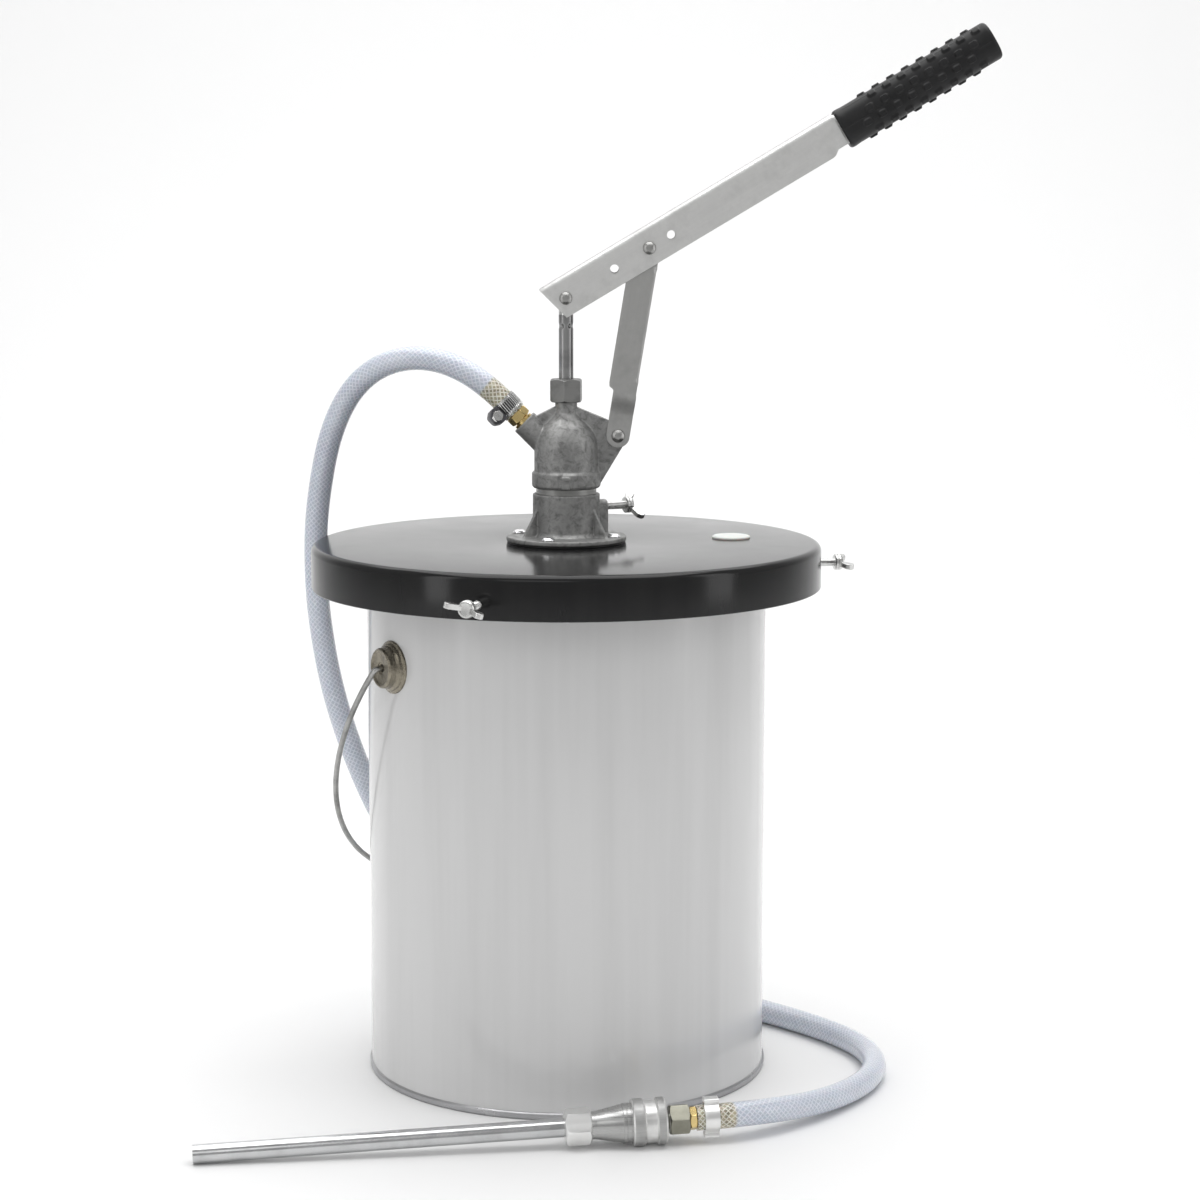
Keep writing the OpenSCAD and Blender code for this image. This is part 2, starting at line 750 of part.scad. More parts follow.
module link_strap() {
    // The lever's pin moves along this slot as the handle swings
    slot_r = 5.3;
    slot = [[-3.9, link_length - 1.7], [1, link_length - 0.5]];
    color("silver") on_link() difference() {
        union() {
            intersection() {
                for (side = [0, 1]) mirror([0, side, 0]) translate([-20, 0, 0]) rotate([90, 0, 90])
                    linear_extrude(height = 40) link_side();
                rotate([90, 0, 0]) linear_extrude(height = 40, center = true) link_outline();
            }
            translate([link_right - strap_t, -link_outer + 1, 36])
                cube([strap_t, 2 * link_outer - 2, link_length - 47]);
        }
        y_cylinder(pin_r + play, 40);
        rotate([90, 0, 0]) linear_extrude(height = 40, center = true)
            hull() for (place = slot) translate(place) circle(r = slot_r);
    }
}

module head_pin() {
    color("silver") translate([lug_x, 0, lug_z])
        cross_pin(link_inner + strap_t + gap, 5, 3);
}

// ---- outlet and hose ----

clamp_from = 53;
clamp_to = 64.5;
clamp_r = hose_r + 0.1;
band_t = 0.8;
housing_turn = 20;

module outlet_barb() {
    color("gold") on_outlet() difference() {
        union() {
            barb(outlet_face - 8, 5.6, outlet_face + 2.4, 51.5, 79, 14);
            x_cylinder(6.9, outlet_face - 8, outlet_face + play);
            x_cylinder(7.3, outlet_face + play, outlet_face + 1.6);
        }
        x_cylinder(4, outlet_face - 9, 80);
    }
}

module hose_clamp_band() {
    color("silver") on_outlet() difference() {
        x_cylinder(clamp_r + band_t, clamp_from, clamp_to);
        x_cylinder(clamp_r, clamp_from - 1, clamp_to + 1);
    }
}

module on_housing() {
    on_outlet() translate([(clamp_from + clamp_to) / 2, 0, 0]) rotate([housing_turn, 0, 0])
        translate([0, 0, clamp_r + band_t]) children();
}

module hose_clamp_housing() {
    color([0.35, 0.35, 0.35]) on_housing() difference() {
        union() {
            translate([-6, -6.5, -2]) cube([12, 13, 5.6]);
            translate([0, 0, 3.6]) intersection() {
                y_cylinder(4.6, 13);
                translate([-6, -7, -0.6]) cube([12, 14, 8]);
            }
        }
        translate([0, 0, 4]) y_cylinder(3.1, 20);
        translate([0, 0, -clamp_r - band_t]) x_cylinder(clamp_r + band_t + 0.02, -7, 7);
    }
}

module hose_clamp_screw() {
    color("silver") on_housing() translate([0, 0, 4]) difference() {
        union() {
            y_cylinder(3, 13.4);
            translate([0, -6.7, 0]) rotate([90, 0, 0]) hexagon(7, 4.2, 0.6);
        }
        translate([-5, -12.4, -0.5]) cube([10, 3, 1]);
    }
}

module hose() {
    color([0.8, 0.85, 0.95]) swept_tube(spline_knots(hose_route), hose_r, 12, [0, 1, 0]);
}

module ear_clamp() {
    from = 339.5;
    to = 349.5;
    ring_r = hose_r + 0.1;
    ear_w = 8;
    ear_h = 4;
    color("silver") on_spout() difference() {
        union() {
            x_cylinder(ring_r + 0.8, from, to);
            for (side = [-1, 1]) translate([from, -ear_w / 2, side > 0 ? ring_r - 1 : -ring_r - ear_h])
                cube([to - from, ear_w, ear_h + 1]);
        }
        x_cylinder(ring_r, from - 1, to + 1);
        for (side = [-1, 1])
            translate([from - 1, -ear_w / 2 + 0.8, side > 0 ? ring_r - 1 : -ring_r - ear_h + 0.8])
                cube([to - from + 2, ear_w - 1.6, ear_h + 0.2]);
    }
}

// ---- spout, with its quick coupler ----

module spout_barb() {
    color("gold") on_spout() barb(adaptor_end - 7, 6, adaptor_end, spout_hex_end, 359.5, 14);
}

module hex_adaptor() {
    color([0.5, 0.5, 0.4]) on_spout() difference() {
        x_hexagon(19, adaptor_s, adaptor_end, 15);
        x_cylinder(6 + play, adaptor_s - 1, adaptor_end + 1);
    }
}

module coupler_nipple() {
    color("silver") on_spout() x_turned([
        [292, 4], [292, 7.2], [293, 7.9], [306.8, 7.9], [306.8, 6.9], [311.2, 6.9],
        [311.2, 7.9], [314, 7.9], [314, 6], [322, 6], [322, 4]]);
}

module coupler_seal() {
    color([0.1, 0.1, 0.1]) on_spout() x_turned([[288.6, 5.4], [288.6, 7.9], [291.9, 7.9], [291.9, 5.4]]);
}

module coupler_body() {
    tail_r = 9;
    nose_r = 11.5;
    color("lightgray") on_spout() difference() {
        x_turned([
            [nut_s + 6.5, 0], [nut_s + 6.5, tail_r], [body_s + 0.2, tail_r],
            [body_s + 0.2, 9.3], [body_s + 3, 9.3], [284.4, 13.3], [body_step, 13.3],
            [body_step, nose_r], [312.5, nose_r], [312.5, 0]]);
        x_cylinder(spout_tail_r + play, nut_s, nut_s + 17);
        x_cylinder(4, nut_s, 320);
        x_cylinder(8, 288.5, 320);
        for (a = [0 : 60 : 300]) rotate([a, 0, 0]) translate([309, 0, 5]) cylinder(r = 2, h = 10);
    }
}

module coupler_balls() {
    color("silver") on_spout() for (a = [0 : 60 : 300]) rotate([a, 0, 0])
        translate([309, 0, 9.1]) sphere(r = 1.9);
}

module coupler_sleeve() {
    groove_r = 14.2;
    color("lightgray") on_spout() x_turned([
        [sleeve_s, 13.4], [sleeve_s, 14.6], [sleeve_s + 1.2, sleeve_r], [298, sleeve_r],
        [299, groove_r], [307, groove_r], [308, sleeve_r], [sleeve_end - 1.2, sleeve_r],
        [sleeve_end, 14.6], [sleeve_end, 13.4], [311.5, 13.4], [311.5, 11.6],
        [sleeve_step, 11.6], [sleeve_step, 13.4]]);
}

module coupler_spring() {
    turns = 3;
    wire_r = 0.4;
    coil_r = 12.45;
    from = body_step + 0.6;
    rise = sleeve_step - body_step - 1.2;
    steps = 16 * turns;
    path = [for (i = [0 : steps]) let (a = 360 * turns * i / steps)
        [from + rise * i / steps, coil_r * cos(a), coil_r * sin(a)]];
    color("gray") on_spout() swept_tube(path, wire_r, 6, [1, 0, 0]);
}

module spout_nut() {
    color("white") on_spout() difference() {
        x_hexagon(22, nut_s, body_s, 30);
        x_cylinder(spout_tail_r + play, nut_s - 1, body_s + 1);
        x_cylinder(9 + play, nut_s + 6.4, body_s + 1);
    }
}

module spout_tube() {
    color("silver") on_spout() difference() {
        union() {
            x_cylinder(spout_r, 0, nut_s - 0.6);
            x_cylinder(spout_tail_r, nut_s - 1, nut_s + 16.5);
        }
        x_cylinder(spout_r - 1.2, -1, nut_s + 20);
    }
}

pail_body();
pail_base();
bail_ears();
bail_wire();
lid();
lid_nuts();
lid_screw_1();
lid_screw_2();
lid_screw_3();
vent_plug();
flange_gasket();
base_flange();
flange_rivets();
clamp_screw();
barrel();
head_seal();
pump_head();
packing_nut();
gland_packing();
plunger_rod();
rod_end();
piston_body();
piston_cups();
piston_nut();
piston_ball();
foot_valve_body();
foot_ball();
foot_stop_pin();
suction_strainer();
lever_channel();
lever_grip();
rod_pin();
link_pin();
link_strap();
head_pin();
outlet_barb();
hose_clamp_band();
hose_clamp_housing();
hose_clamp_screw();
hose();
ear_clamp();
spout_barb();
hex_adaptor();
coupler_nipple();
coupler_seal();
coupler_body();
coupler_balls();
coupler_sleeve();
coupler_spring();
spout_nut();
spout_tube();
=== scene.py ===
"""Looks of a hand-lever gear oil pump on its steel pail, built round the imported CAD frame.

Shapes are written in millimetres and become metres in make(). Each piece is made in the frame of
what it belongs to: the world, the outlet, the lever, the link, the bail or the spout.
"""

import math

import bmesh
import bpy
import numpy as np
from mathutils import Matrix, Vector


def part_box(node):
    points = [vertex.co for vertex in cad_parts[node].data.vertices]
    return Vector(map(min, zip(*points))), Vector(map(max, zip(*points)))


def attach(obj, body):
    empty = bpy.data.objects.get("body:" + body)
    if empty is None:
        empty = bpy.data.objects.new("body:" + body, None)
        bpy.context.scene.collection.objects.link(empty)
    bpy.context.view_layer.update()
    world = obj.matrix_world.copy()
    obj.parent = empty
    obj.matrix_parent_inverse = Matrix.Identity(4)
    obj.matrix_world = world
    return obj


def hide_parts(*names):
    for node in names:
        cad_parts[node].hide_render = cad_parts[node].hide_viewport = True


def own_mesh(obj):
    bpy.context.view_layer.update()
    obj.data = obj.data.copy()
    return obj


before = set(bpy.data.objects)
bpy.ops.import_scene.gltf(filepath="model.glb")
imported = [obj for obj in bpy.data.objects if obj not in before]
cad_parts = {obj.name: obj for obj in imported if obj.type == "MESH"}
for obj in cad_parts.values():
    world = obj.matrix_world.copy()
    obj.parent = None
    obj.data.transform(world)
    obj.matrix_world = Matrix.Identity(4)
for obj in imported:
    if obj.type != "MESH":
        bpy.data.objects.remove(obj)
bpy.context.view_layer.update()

MM = 0.001
ROOT = "pail_and_pump"


def low(node):
    """Lowest corner of a CAD node, in millimetres."""
    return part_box(node)[0] / MM


def high(node):
    """Highest corner of a CAD node, in millimetres."""
    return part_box(node)[1] / MM


def middle(node):
    """Middle of a CAD node's box, in millimetres."""
    return (low(node) + high(node)) / 2


# ---- sizes ----

PAIL_R = 143.0
LID_TOP = high("lid").z
LID_LOW = low("lid").z
LID_R = (high("lid").x - low("lid").x) / 2
LID_SHEET = 1.5
BARREL_R = (high("barrel").x - low("barrel").x) / 2
FLANGE_LOW = low("base_flange").z
SLEEVE_TOP = high("base_flange").z
COLLAR_LOW = low("pump_head").z
COLLAR_TOP = COLLAR_LOW + 11.5
DOME_Z = 450.0
NECK_TOP = high("pump_head").z
NUT_LOW, NUT_TOP = low("packing_nut").z, high("packing_nut").z
ROD_R = (high("plunger_rod").x - low("plunger_rod").x) / 2
ROD_PIVOT_Z = middle("rod_pin").z
LUG_X, LUG_Z = middle("head_pin").x, middle("head_pin").z
LINK_PIN_X, LINK_PIN_Z = middle("link_pin").x, middle("link_pin").z
LEVER_ANGLE = math.degrees(math.atan2(LINK_PIN_Z - ROD_PIVOT_Z, LINK_PIN_X))
LEVER_ARM = math.hypot(LINK_PIN_X, LINK_PIN_Z - ROD_PIVOT_Z)
LINK_TILT = math.degrees(math.atan2(LINK_PIN_X - LUG_X, LINK_PIN_Z - LUG_Z))
LINK_LENGTH = math.hypot(LINK_PIN_X - LUG_X, LINK_PIN_Z - LUG_Z)
OUTLET_Z = 438.7
OUTLET_FACE = 42.3
OUTLET_HOSE = 51.5
HOSE_R, HOSE_BORE_R = 8.5, 6.0
HOSE_ON_BARBS = (27.5, 25.1)
SPOUT_R = 6.35
SPOUT_NUT = 245.6
SPOUT_HOSE = 334.4
EAR_Z = 304.5
EAR_AZIMUTH = 33.0
SPOUT_HEADING, SPOUT_PITCH = 7.3, 1.793
SPOUT_TIP = (-243.0, -230.0, 6.4)


# ---- frames ----


def placed(x=0.0, y=0.0, z=0.0, *turns):
    """Matrix of a place in millimetres, then turns as (degrees, axis)."""
    matrix = Matrix.Translation(Vector((x, y, z)) * MM)
    for degrees, axis in turns:
        matrix = matrix @ Matrix.Rotation(math.radians(degrees), 4, axis)
    return matrix


def turned(degrees, axis):
    """Matrix of one turn."""
    return placed(0, 0, 0, (degrees, axis))


WORLD = placed()
Z_TO_X = turned(90, "Y")
OUTLET = placed(0, 0, OUTLET_Z, (-135, "Y"))
ON_OUTLET = OUTLET @ Z_TO_X
LEVER = placed(0, 0, ROD_PIVOT_Z, (-LEVER_ANGLE, "Y"))
LINK = placed(LUG_X, 0, LUG_Z, (LINK_TILT, "Y"))
BAIL = placed(0, 0, EAR_Z, (EAR_AZIMUTH, "Z"))
SPOUT = placed(*SPOUT_TIP, (SPOUT_HEADING, "Z"), (-SPOUT_PITCH, "Y"))


# ---- outlines and shapes: a shape is (vertices in millimetres, faces) ----


def ease(x):
    """Smooth step from 0 to 1."""
    x = np.clip(x, 0.0, 1.0)
    return x * x * (3 - 2 * x)


def fillet(outline, radius=0.4, steps=3, closed=True):
    """Rounds the corners of a 2-D outline. A corner may carry its own radius as a third number."""
    rounded, count = [], len(outline)
    for i, corner in enumerate(outline):
        point = Vector(corner[:2])
        r = corner[2] if len(corner) > 2 else radius
        if r <= 0 or (not closed and i in (0, count - 1)):
            rounded.append(tuple(point))
            continue
        to_last = Vector(outline[i - 1][:2]) - point
        to_next = Vector(outline[(i + 1) % count][:2]) - point
        room = 0.48 * min(to_last.length, to_next.length)
        if room < 1e-6:
            rounded.append(tuple(point))
            continue
        to_last.normalize()
        to_next.normalize()
        angle = math.acos(max(-1.0, min(1.0, to_last.dot(to_next))))
        if angle > math.radians(177) or angle < math.radians(3):
            rounded.append(tuple(point))
            continue
        cut = min(r / math.tan(angle / 2), room)
        centre = point + (to_last + to_next).normalized() * (cut / math.cos(angle / 2))
        start, end = point + to_last * cut - centre, point + to_next * cut - centre
        sweep = math.atan2(start.x * end.y - start.y * end.x, start.dot(end))
        for k in range(steps + 1):
            a = sweep * k / steps
            c, s = math.cos(a), math.sin(a)
            rounded.append((centre.x + c * start.x - s * start.y, centre.y + s * start.x + c * start.y))
    return rounded


def grid_faces(rows, columns, wrap_rows=False, wrap_columns=True):
    """Quads over a grid of vertices in row order."""
    faces = []
    for i in range(rows if wrap_rows else rows - 1):
        for k in range(columns if wrap_columns else columns - 1):
            a, b = i * columns, (i + 1) % rows * columns
            n = (k + 1) % columns
            faces.append((a + k, a + n, b + n, b + k))
    return faces


def tube(points, around):
    """A solid bar from rings of so many points each."""
    last = len(points) - around
    ends = tuple(range(around - 1, -1, -1)), tuple(range(last, last + around))
    return points, [*grid_faces(len(points) // around, around), *ends]


def double_wall(outer, inner, around):
    """A wall between two tubes, each given as rings of so many points, closed at both rims."""
    faces, base = grid_faces(len(outer) // around, around), len(outer)
    rims = [(a + k, a + (k + 1) % around, base + a + (k + 1) % around, base + a + k)
            for a in (0, base - around) for k in range(around)]
    return outer + inner, [*faces, *(tuple(base + i for i in face) for face in faces), *rims]


def sheet(rows, closed=False):
    """A sheet from rows of points; a closed one joins each row's end to its start."""
    return [p for row in rows for p in row], grid_faces(len(rows), len(rows[0]), wrap_columns=closed)


def lathe(outline, segments=96, ripple=None):
    """A closed outline of (radius, height) turned about Z.

    ripple(angle, radius, height) adds to the radius.
    """
    points = []
    for r, h in outline:
        for k in range(segments):
            a = 2 * math.pi * k / segments
            radius = r + (ripple(a, r, h) if ripple else 0.0)
            points.append((radius * math.cos(a), radius * math.sin(a), h))
    return points, grid_faces(len(outline), segments, wrap_rows=True)


def prism(outline, start, end):
    """An outline of (x, z) drawn out along Y."""
    n = len(outline)
    points = [(x, start, z) for x, z in outline] + [(x, end, z) for x, z in outline]
    faces = [(k, (k + 1) % n, n + (k + 1) % n, n + k) for k in range(n)]
    return points, [*faces, tuple(range(n)), tuple(range(2 * n - 1, n - 1, -1))]


def moved(shape, matrix):
    """The shape in another frame; the matrix is one from placed()."""
    return [tuple((matrix @ (Vector(p) * MM)) / MM) for p in shape[0]], shape[1]


def radial(shape, azimuth, z):
    """A shape along Z laid along the radius at an azimuth and a height."""
    return moved(shape, placed(0, 0, z, (azimuth, "Z"), (90, "Y")))


def joined(*shapes):
    """Several shapes as one."""
    points, faces = [], []
    for p, f in shapes:
        faces += [tuple(i + len(points) for i in face) for face in f]
        points += list(p)
    return points, faces


def circle(r, x=0.0, y=0.0, steps=32, start=0.0, sweep=360.0):
    """Points of a circle or an arc."""
    count = steps if sweep == 360.0 else steps + 1
    angles = [math.radians(start + sweep * k / steps) for k in range(count)]
    return [(x + r * math.cos(a), y + r * math.sin(a)) for a in angles]


def rod(r, start, end, segments=32, edge=0.0):
    """A cylinder along Z with rounded rims."""
    return lathe(fillet([(0, start, 0), (r, start), (r, end), (0, end, 0)], edge), segments)


def cross_rod(r, x, z, half, segments=32):
    """A cylinder along Y through (x, z)."""
    return prism(circle(r, x, z, segments), -half, half)


def chamfered_hexagon(flats, start, end, chamfer, turn=0.0):
    """A hexagonal bar along Z whose corners are turned down to a cone at both ends."""
    inner, outer, around = flats / 2, flats / 2 / math.cos(math.pi / 6), 120
    faced, full = 0.96 * inner, 1.01 * outer
    depths = np.linspace(0, chamfer, 9)
    points = []
    for h, depth in [*zip(start + depths, depths), *zip(end - depths[::-1], depths[::-1])]:
        limit = faced + (full - faced) * depth / chamfer
        for k in range(around):
            a = 2 * math.pi * k / around
            r = min(inner / math.cos(a % (math.pi / 3) - math.pi / 6), limit)
            a += math.radians(turn)
            points.append((r * math.cos(a), r * math.sin(a), h))
    return tube(points, around)


def swept(path, r, sides, first=(0, 0, 1)):
    """A round bar along a path of points, without twist."""
    path = np.asarray(path, float)
    tangents = np.gradient(path, axis=0)
    tangents /= np.linalg.norm(tangents, axis=1)[:, None]
    side, points = np.asarray(first, float), []
    for p, t in zip(path, tangents):
        side = side - (side @ t) * t
        side /= np.linalg.norm(side)
        other = np.cross(t, side)
        for k in range(sides):
            a = 2 * math.pi * k / sides
            points.append(tuple(p + r * (math.cos(a) * side + math.sin(a) * other)))
    return tube(points, sides)


# ---- objects ----


def smooth(piece, angle=35.0):
    """Smooth shading, with sharp edges where faces meet at more than an angle."""
    piece.data.polygons.foreach_set("use_smooth", [True] * len(piece.data.polygons))
    piece.data.set_sharp_from_angle(angle=math.radians(angle))
    return piece


def make(name, shape, material, at=WORLD, body=ROOT, node=None, angle=35.0):
    """An object from a shape, in its frame. It rides on a body, and may stand for a CAD node."""
    mesh = bpy.data.meshes.new(name)
    mesh.from_pydata([tuple(c * MM for c in p) for p in shape[0]], [], shape[1])
    edit = bmesh.new()
    edit.from_mesh(mesh)
    bmesh.ops.remove_doubles(edit, verts=edit.verts, dist=1e-7)
    bmesh.ops.dissolve_degenerate(edit, edges=edit.edges, dist=1e-7)
    bmesh.ops.recalc_face_normals(edit, faces=edit.faces)
    edit.to_mesh(mesh)
    edit.free()
    piece = bpy.data.objects.new(name, mesh)
    bpy.context.scene.collection.objects.link(piece)
    piece.matrix_world = at
    if material is not None:
        mesh.materials.append(material)
        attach(piece, body)
    if node:
        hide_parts(node)
    return smooth(piece, angle)


def with_modifier(piece, kind, **settings):
    """Runs one modifier and keeps its result as the mesh."""
    modifier = piece.modifiers.new(kind.title(), kind)
    for key, value in settings.items():
        setattr(modifier, key, value)
    bpy.context.view_layer.update()
    evaluated = piece.evaluated_get(bpy.context.evaluated_depsgraph_get())
    mesh = bpy.data.meshes.new_from_object(evaluated)
    piece.modifiers.clear()
    old, piece.data = piece.data, mesh
    bpy.data.meshes.remove(old)
    return piece


def cut(piece, *shapes, angle=35.0):
    """Takes shapes, given in the piece's own frame, out of the piece."""
    for shape in shapes:
        tool = make("tool", shape, None, piece.matrix_world)
        with_modifier(piece, "BOOLEAN", operation="DIFFERENCE", solver="EXACT", object=tool)
        bpy.data.objects.remove(tool)
    return smooth(piece, angle)


def soften(piece, width, segments=2, angle=32.0):
    """Rounds the sharp edges."""
    with_modifier(piece, "BEVEL", width=width * MM, segments=segments, limit_method="ANGLE",
                  angle_limit=math.radians(angle), use_clamp_overlap=True)
    return smooth(piece, 40.0)


def cast(piece, voxel=0.6, rounds=3):
    """Melts overlapping shapes into one skin with soft corners, as in a casting."""
    with_modifier(piece, "REMESH", mode="VOXEL", voxel_size=voxel * MM)
    with_modifier(piece, "SMOOTH", factor=0.5, iterations=rounds)
    return smooth(piece, 60.0)


# ---- materials ----


class Paint:
    """A Principled material whose sockets can be driven by procedural nodes."""

    def __init__(self, name, color, roughness, metallic=0.0, **sockets):
        self.material = bpy.data.materials.new(name)
        self.material.use_nodes = True
        self.tree = self.material.node_tree
        self.shader = self.tree.nodes["Principled BSDF"]
        sockets.update(Base_Color=(*color, 1.0), Roughness=roughness, Metallic=metallic)
        for socket, value in sockets.items():
            self.shader.inputs[socket.replace("_", " ")].default_value = value

    def feed(self, socket, value):
        """Links another node's output to a socket, or sets a plain value there."""
        if isinstance(value, bpy.types.NodeSocket):
            self.tree.links.new(value, socket)
        else:
            socket.default_value = value

    def node(self, kind, inputs=None, **settings):
        made = self.tree.nodes.new("ShaderNode" + kind)
        for key, value in settings.items():
            setattr(made, key, value)
        for key, value in (inputs or {}).items():
            self.feed(made.inputs[key], value)
        return made

    def drive(self, socket, source):
        self.tree.links.new(source, self.shader.inputs[socket])

    def place(self, stretch=(1, 1, 1)):
        """Position on the object, stretched."""
        where = self.node("TexCoord").outputs["Object"]
        return self.node("Mapping", {"Vector": where, "Scale": stretch}).outputs["Vector"]

    def noise(self, scale, detail=3.0, roughness=0.55, stretch=(1, 1, 1), distortion=0.0):
        return self.node("TexNoise", {"Vector": self.place(stretch), "Scale": scale, "Detail": detail,
                                      "Roughness": roughness, "Distortion": distortion}).outputs["Fac"]

    def ramp(self, fac, *stops):
        """Colours or grey levels at places from 0 to 1."""
        made = self.node("ValToRGB", {"Fac": fac})
        band = made.color_ramp
        while len(band.elements) < len(stops):
            band.elements.new(0.5)
        for element, (place, value) in zip(band.elements, stops):
            element.position = place
            element.color = (*value, 1.0) if isinstance(value, tuple) else (value, value, value, 1.0)
        return made.outputs["Color"]

    def span(self, fac, low_value, high_value, start=0.3, end=0.7):
        return self.node("MapRange", {"Value": fac, "From Min": start, "From Max": end,
                                      "To Min": low_value, "To Max": high_value}).outputs["Result"]

    def math(self, operation, a, b=0.0, c=0.0):
        made = self.node("Math", operation=operation)
        for socket, value in zip(made.inputs, (a, b, c)):
            self.feed(socket, value)
        return made.outputs[0]

    def mix(self, fac, a, b):
        made = self.node("Mix", data_type="RGBA")
        for index, value in ((0, fac), (6, a), (7, b)):
            self.feed(made.inputs[index], (*value, 1.0) if isinstance(value, tuple) else value)
        return made.outputs[2]

    def bump(self, *layers):
        """Layers of (height, depth in millimetres), the last one on top."""
        normal = None
        for height, depth in layers:
            inputs = {"Height": height, "Strength": 1.0, "Distance": depth * MM}
            if normal is not None:
                inputs["Normal"] = normal
            normal = self.node("Bump", inputs).outputs["Normal"]
        self.drive("Normal", normal)


def enamel(name, color, roughness, waviness, crease_light, smear, ior=1.5, coat=0.0):
    """Baked enamel on thin sheet: wavy round the wall, with an orange peel, and faint upright streaks along
    its creases that are painted light in a second colour.
    """
    paint = Paint(name, color, roughness, IOR=ior, Coat_Weight=coat, Coat_Roughness=0.05)
    waves = paint.noise(11.0, 2.0, stretch=(1, 1, 0.06))
    creases = paint.noise(34.0, 3.0, 0.6, (1, 1, 0.05))
    peel = paint.noise(900.0, 2.0)
    smears = paint.noise(26.0, 5.0, 0.6, (1, 1, 0.35))
    # Painted light: the creases are tinted towards the second colour, which is darker painted shade on the
    # white enamel and lighter painted sheen on the black.
    paint.drive("Base Color", paint.mix(paint.span(creases, 0.0, 1.0, 0.42, 0.7), color, crease_light))
    glossy, dull = roughness * (1 - smear), roughness * (1 + 2.5 * smear)
    paint.drive("Roughness", paint.span(smears, glossy, dull, 0.35, 0.72))
    paint.bump((waves, waviness), (creases, waviness * 0.2), (peel, 0.01))
    return paint.material


def shade(color, factor):
    """A colour made darker, or lighter up to white."""
    return tuple(min(1.0, c * factor) for c in color)


def rolled_sheet(name, color, roughness, grain=(3, 300, 300), spots=0.12, **sockets):
    """Zinc-plated sheet with rolling lines along X and cloudy spots."""
    paint = Paint(name, color, roughness, 1.0, **sockets)
    lines = paint.noise(1.0, 5.0, 0.7, grain)
    clouds = paint.noise(55.0, 5.0, 0.6)
    dark = shade(color, 1 - spots)
    tone = paint.ramp(clouds, (0.3, dark), (0.52, color), (0.75, shade(color, 1 + spots * 0.6)))
    paint.drive("Base Color", paint.mix(paint.span(lines, 0.0, 0.35), tone, dark))
    paint.drive("Roughness", paint.span(clouds, roughness * 1.25, roughness * 0.8))
    paint.bump((clouds, 0.03), (lines, 0.015))
    return paint.material


def casting(name, color, roughness, relief=1.0):
    """As-cast metal: a sandy skin, mottled, with darker flow marks."""
    paint = Paint(name, color, roughness, 0.85)
    mottle = paint.noise(190.0, 6.0, 0.68, distortion=0.5)
    fine = paint.noise(900.0, 3.0)
    flow = paint.noise(70.0, 4.0, 0.5, (1, 1, 0.4))
    dark = shade(color, 0.6)
    tone = paint.ramp(mottle, (0.32, dark), (0.48, color), (0.68, shade(color, 1.25)))
    paint.drive("Base Color", paint.mix(paint.span(flow, 0.0, 0.35, 0.42, 0.68), tone, dark))
    paint.drive("Roughness", paint.span(mottle, roughness * 1.15, roughness * 0.85))
    paint.bump((flow, 0.12 * relief), (mottle, 0.07 * relief), (fine, 0.04 * relief))
    return paint.material


def turned_metal(name, color, roughness, rings=900.0, stain=0.08, along="X", groove=0.006):
    """Metal off a lathe: fine rings across the axis, and faint stains."""
    paint = Paint(name, color, roughness, 1.0)
    stretch = (rings, 6, 6) if along == "X" else (6, 6, rings)
    lines = paint.noise(1.0, 2.0, 0.5, stretch)
    stains = paint.noise(60.0, 5.0, 0.6)
    paint.drive("Base Color", paint.ramp(stains, (0.3, shade(color, 1 - stain * 2)), (0.55, color)))
    paint.drive("Roughness", paint.span(lines, roughness * 0.8, roughness * 1.3))
    paint.bump((lines, groove))
    return paint.material


def moulded(name, color, roughness, grain=0.03, bloom=0.03, **sockets):
    """Rubber or plastic with a fine grain and a pale bloom."""
    paint = Paint(name, color, roughness, **sockets)
    skin = paint.noise(1400.0, 2.0)
    patches = paint.noise(45.0, 5.0, 0.6)
    pale = tuple(min(1.0, c + bloom) for c in color)
    paint.drive("Base Color", paint.mix(paint.span(patches, 0.0, 1.0, 0.4, 0.75), color, pale))
    paint.drive("Roughness", paint.span(patches, roughness * 0.88, roughness * 1.1))
    paint.bump((skin, grain))
    return paint.material


def braided_hose(name, length, barb_ends):
    """Clear hose with a woven yarn in its wall; brass shows through over the barbs.

    It reads the tube's UV, in millimetres.
    """
    paint = Paint(name, (0.66, 0.7, 0.78), 0.28, Coat_Weight=0.5, Coat_Roughness=0.12,
                  Subsurface_Weight=0.15, Subsurface_Scale=0.004)
    around = 2 * math.pi * HOSE_R
    pitch = around / 14
    uv = paint.node("SeparateXYZ", {"Vector": paint.node("UVMap").outputs["UV"]})
    along, across = uv.outputs["X"], uv.outputs["Y"]
    wander = paint.span(paint.noise(140.0, 2.0), -0.6, 0.6)
    yarns = []
    for direction in (1.0, -1.0):
        course = paint.math("ADD", paint.math("MULTIPLY_ADD", across, direction, along), wander)
        yarns.append(paint.math("PINGPONG", paint.math("DIVIDE", course, pitch), 0.5))
    fade = paint.span(paint.noise(330.0, 3.0), 0.45, 1.0)
    yarn = paint.math("MULTIPLY", paint.span(paint.math("MAXIMUM", *yarns), 0.0, 1.0, 0.3, 0.42), fade)
    near = paint.math("MAXIMUM", paint.span(along, 1.0, 0.0, barb_ends[0] - 1, barb_ends[0] + 1),
                      paint.span(along, 0.0, 1.0, length - barb_ends[1] - 1, length - barb_ends[1] + 1))
    haze = paint.noise(40.0, 4.0)
    body = paint.ramp(haze, (0.3, (0.45, 0.49, 0.58)), (0.7, (0.54, 0.58, 0.66)))
    glow = paint.ramp(paint.noise(260.0, 3.0), (0.35, (0.17, 0.145, 0.1)), (0.62, (0.46, 0.42, 0.29)))
    thread = paint.mix(near, (0.76, 0.79, 0.86), (0.84, 0.82, 0.74))
    paint.drive("Base Color", paint.mix(yarn, paint.mix(near, body, glow), thread))
    paint.bump((yarn, 0.05))
    return paint.material
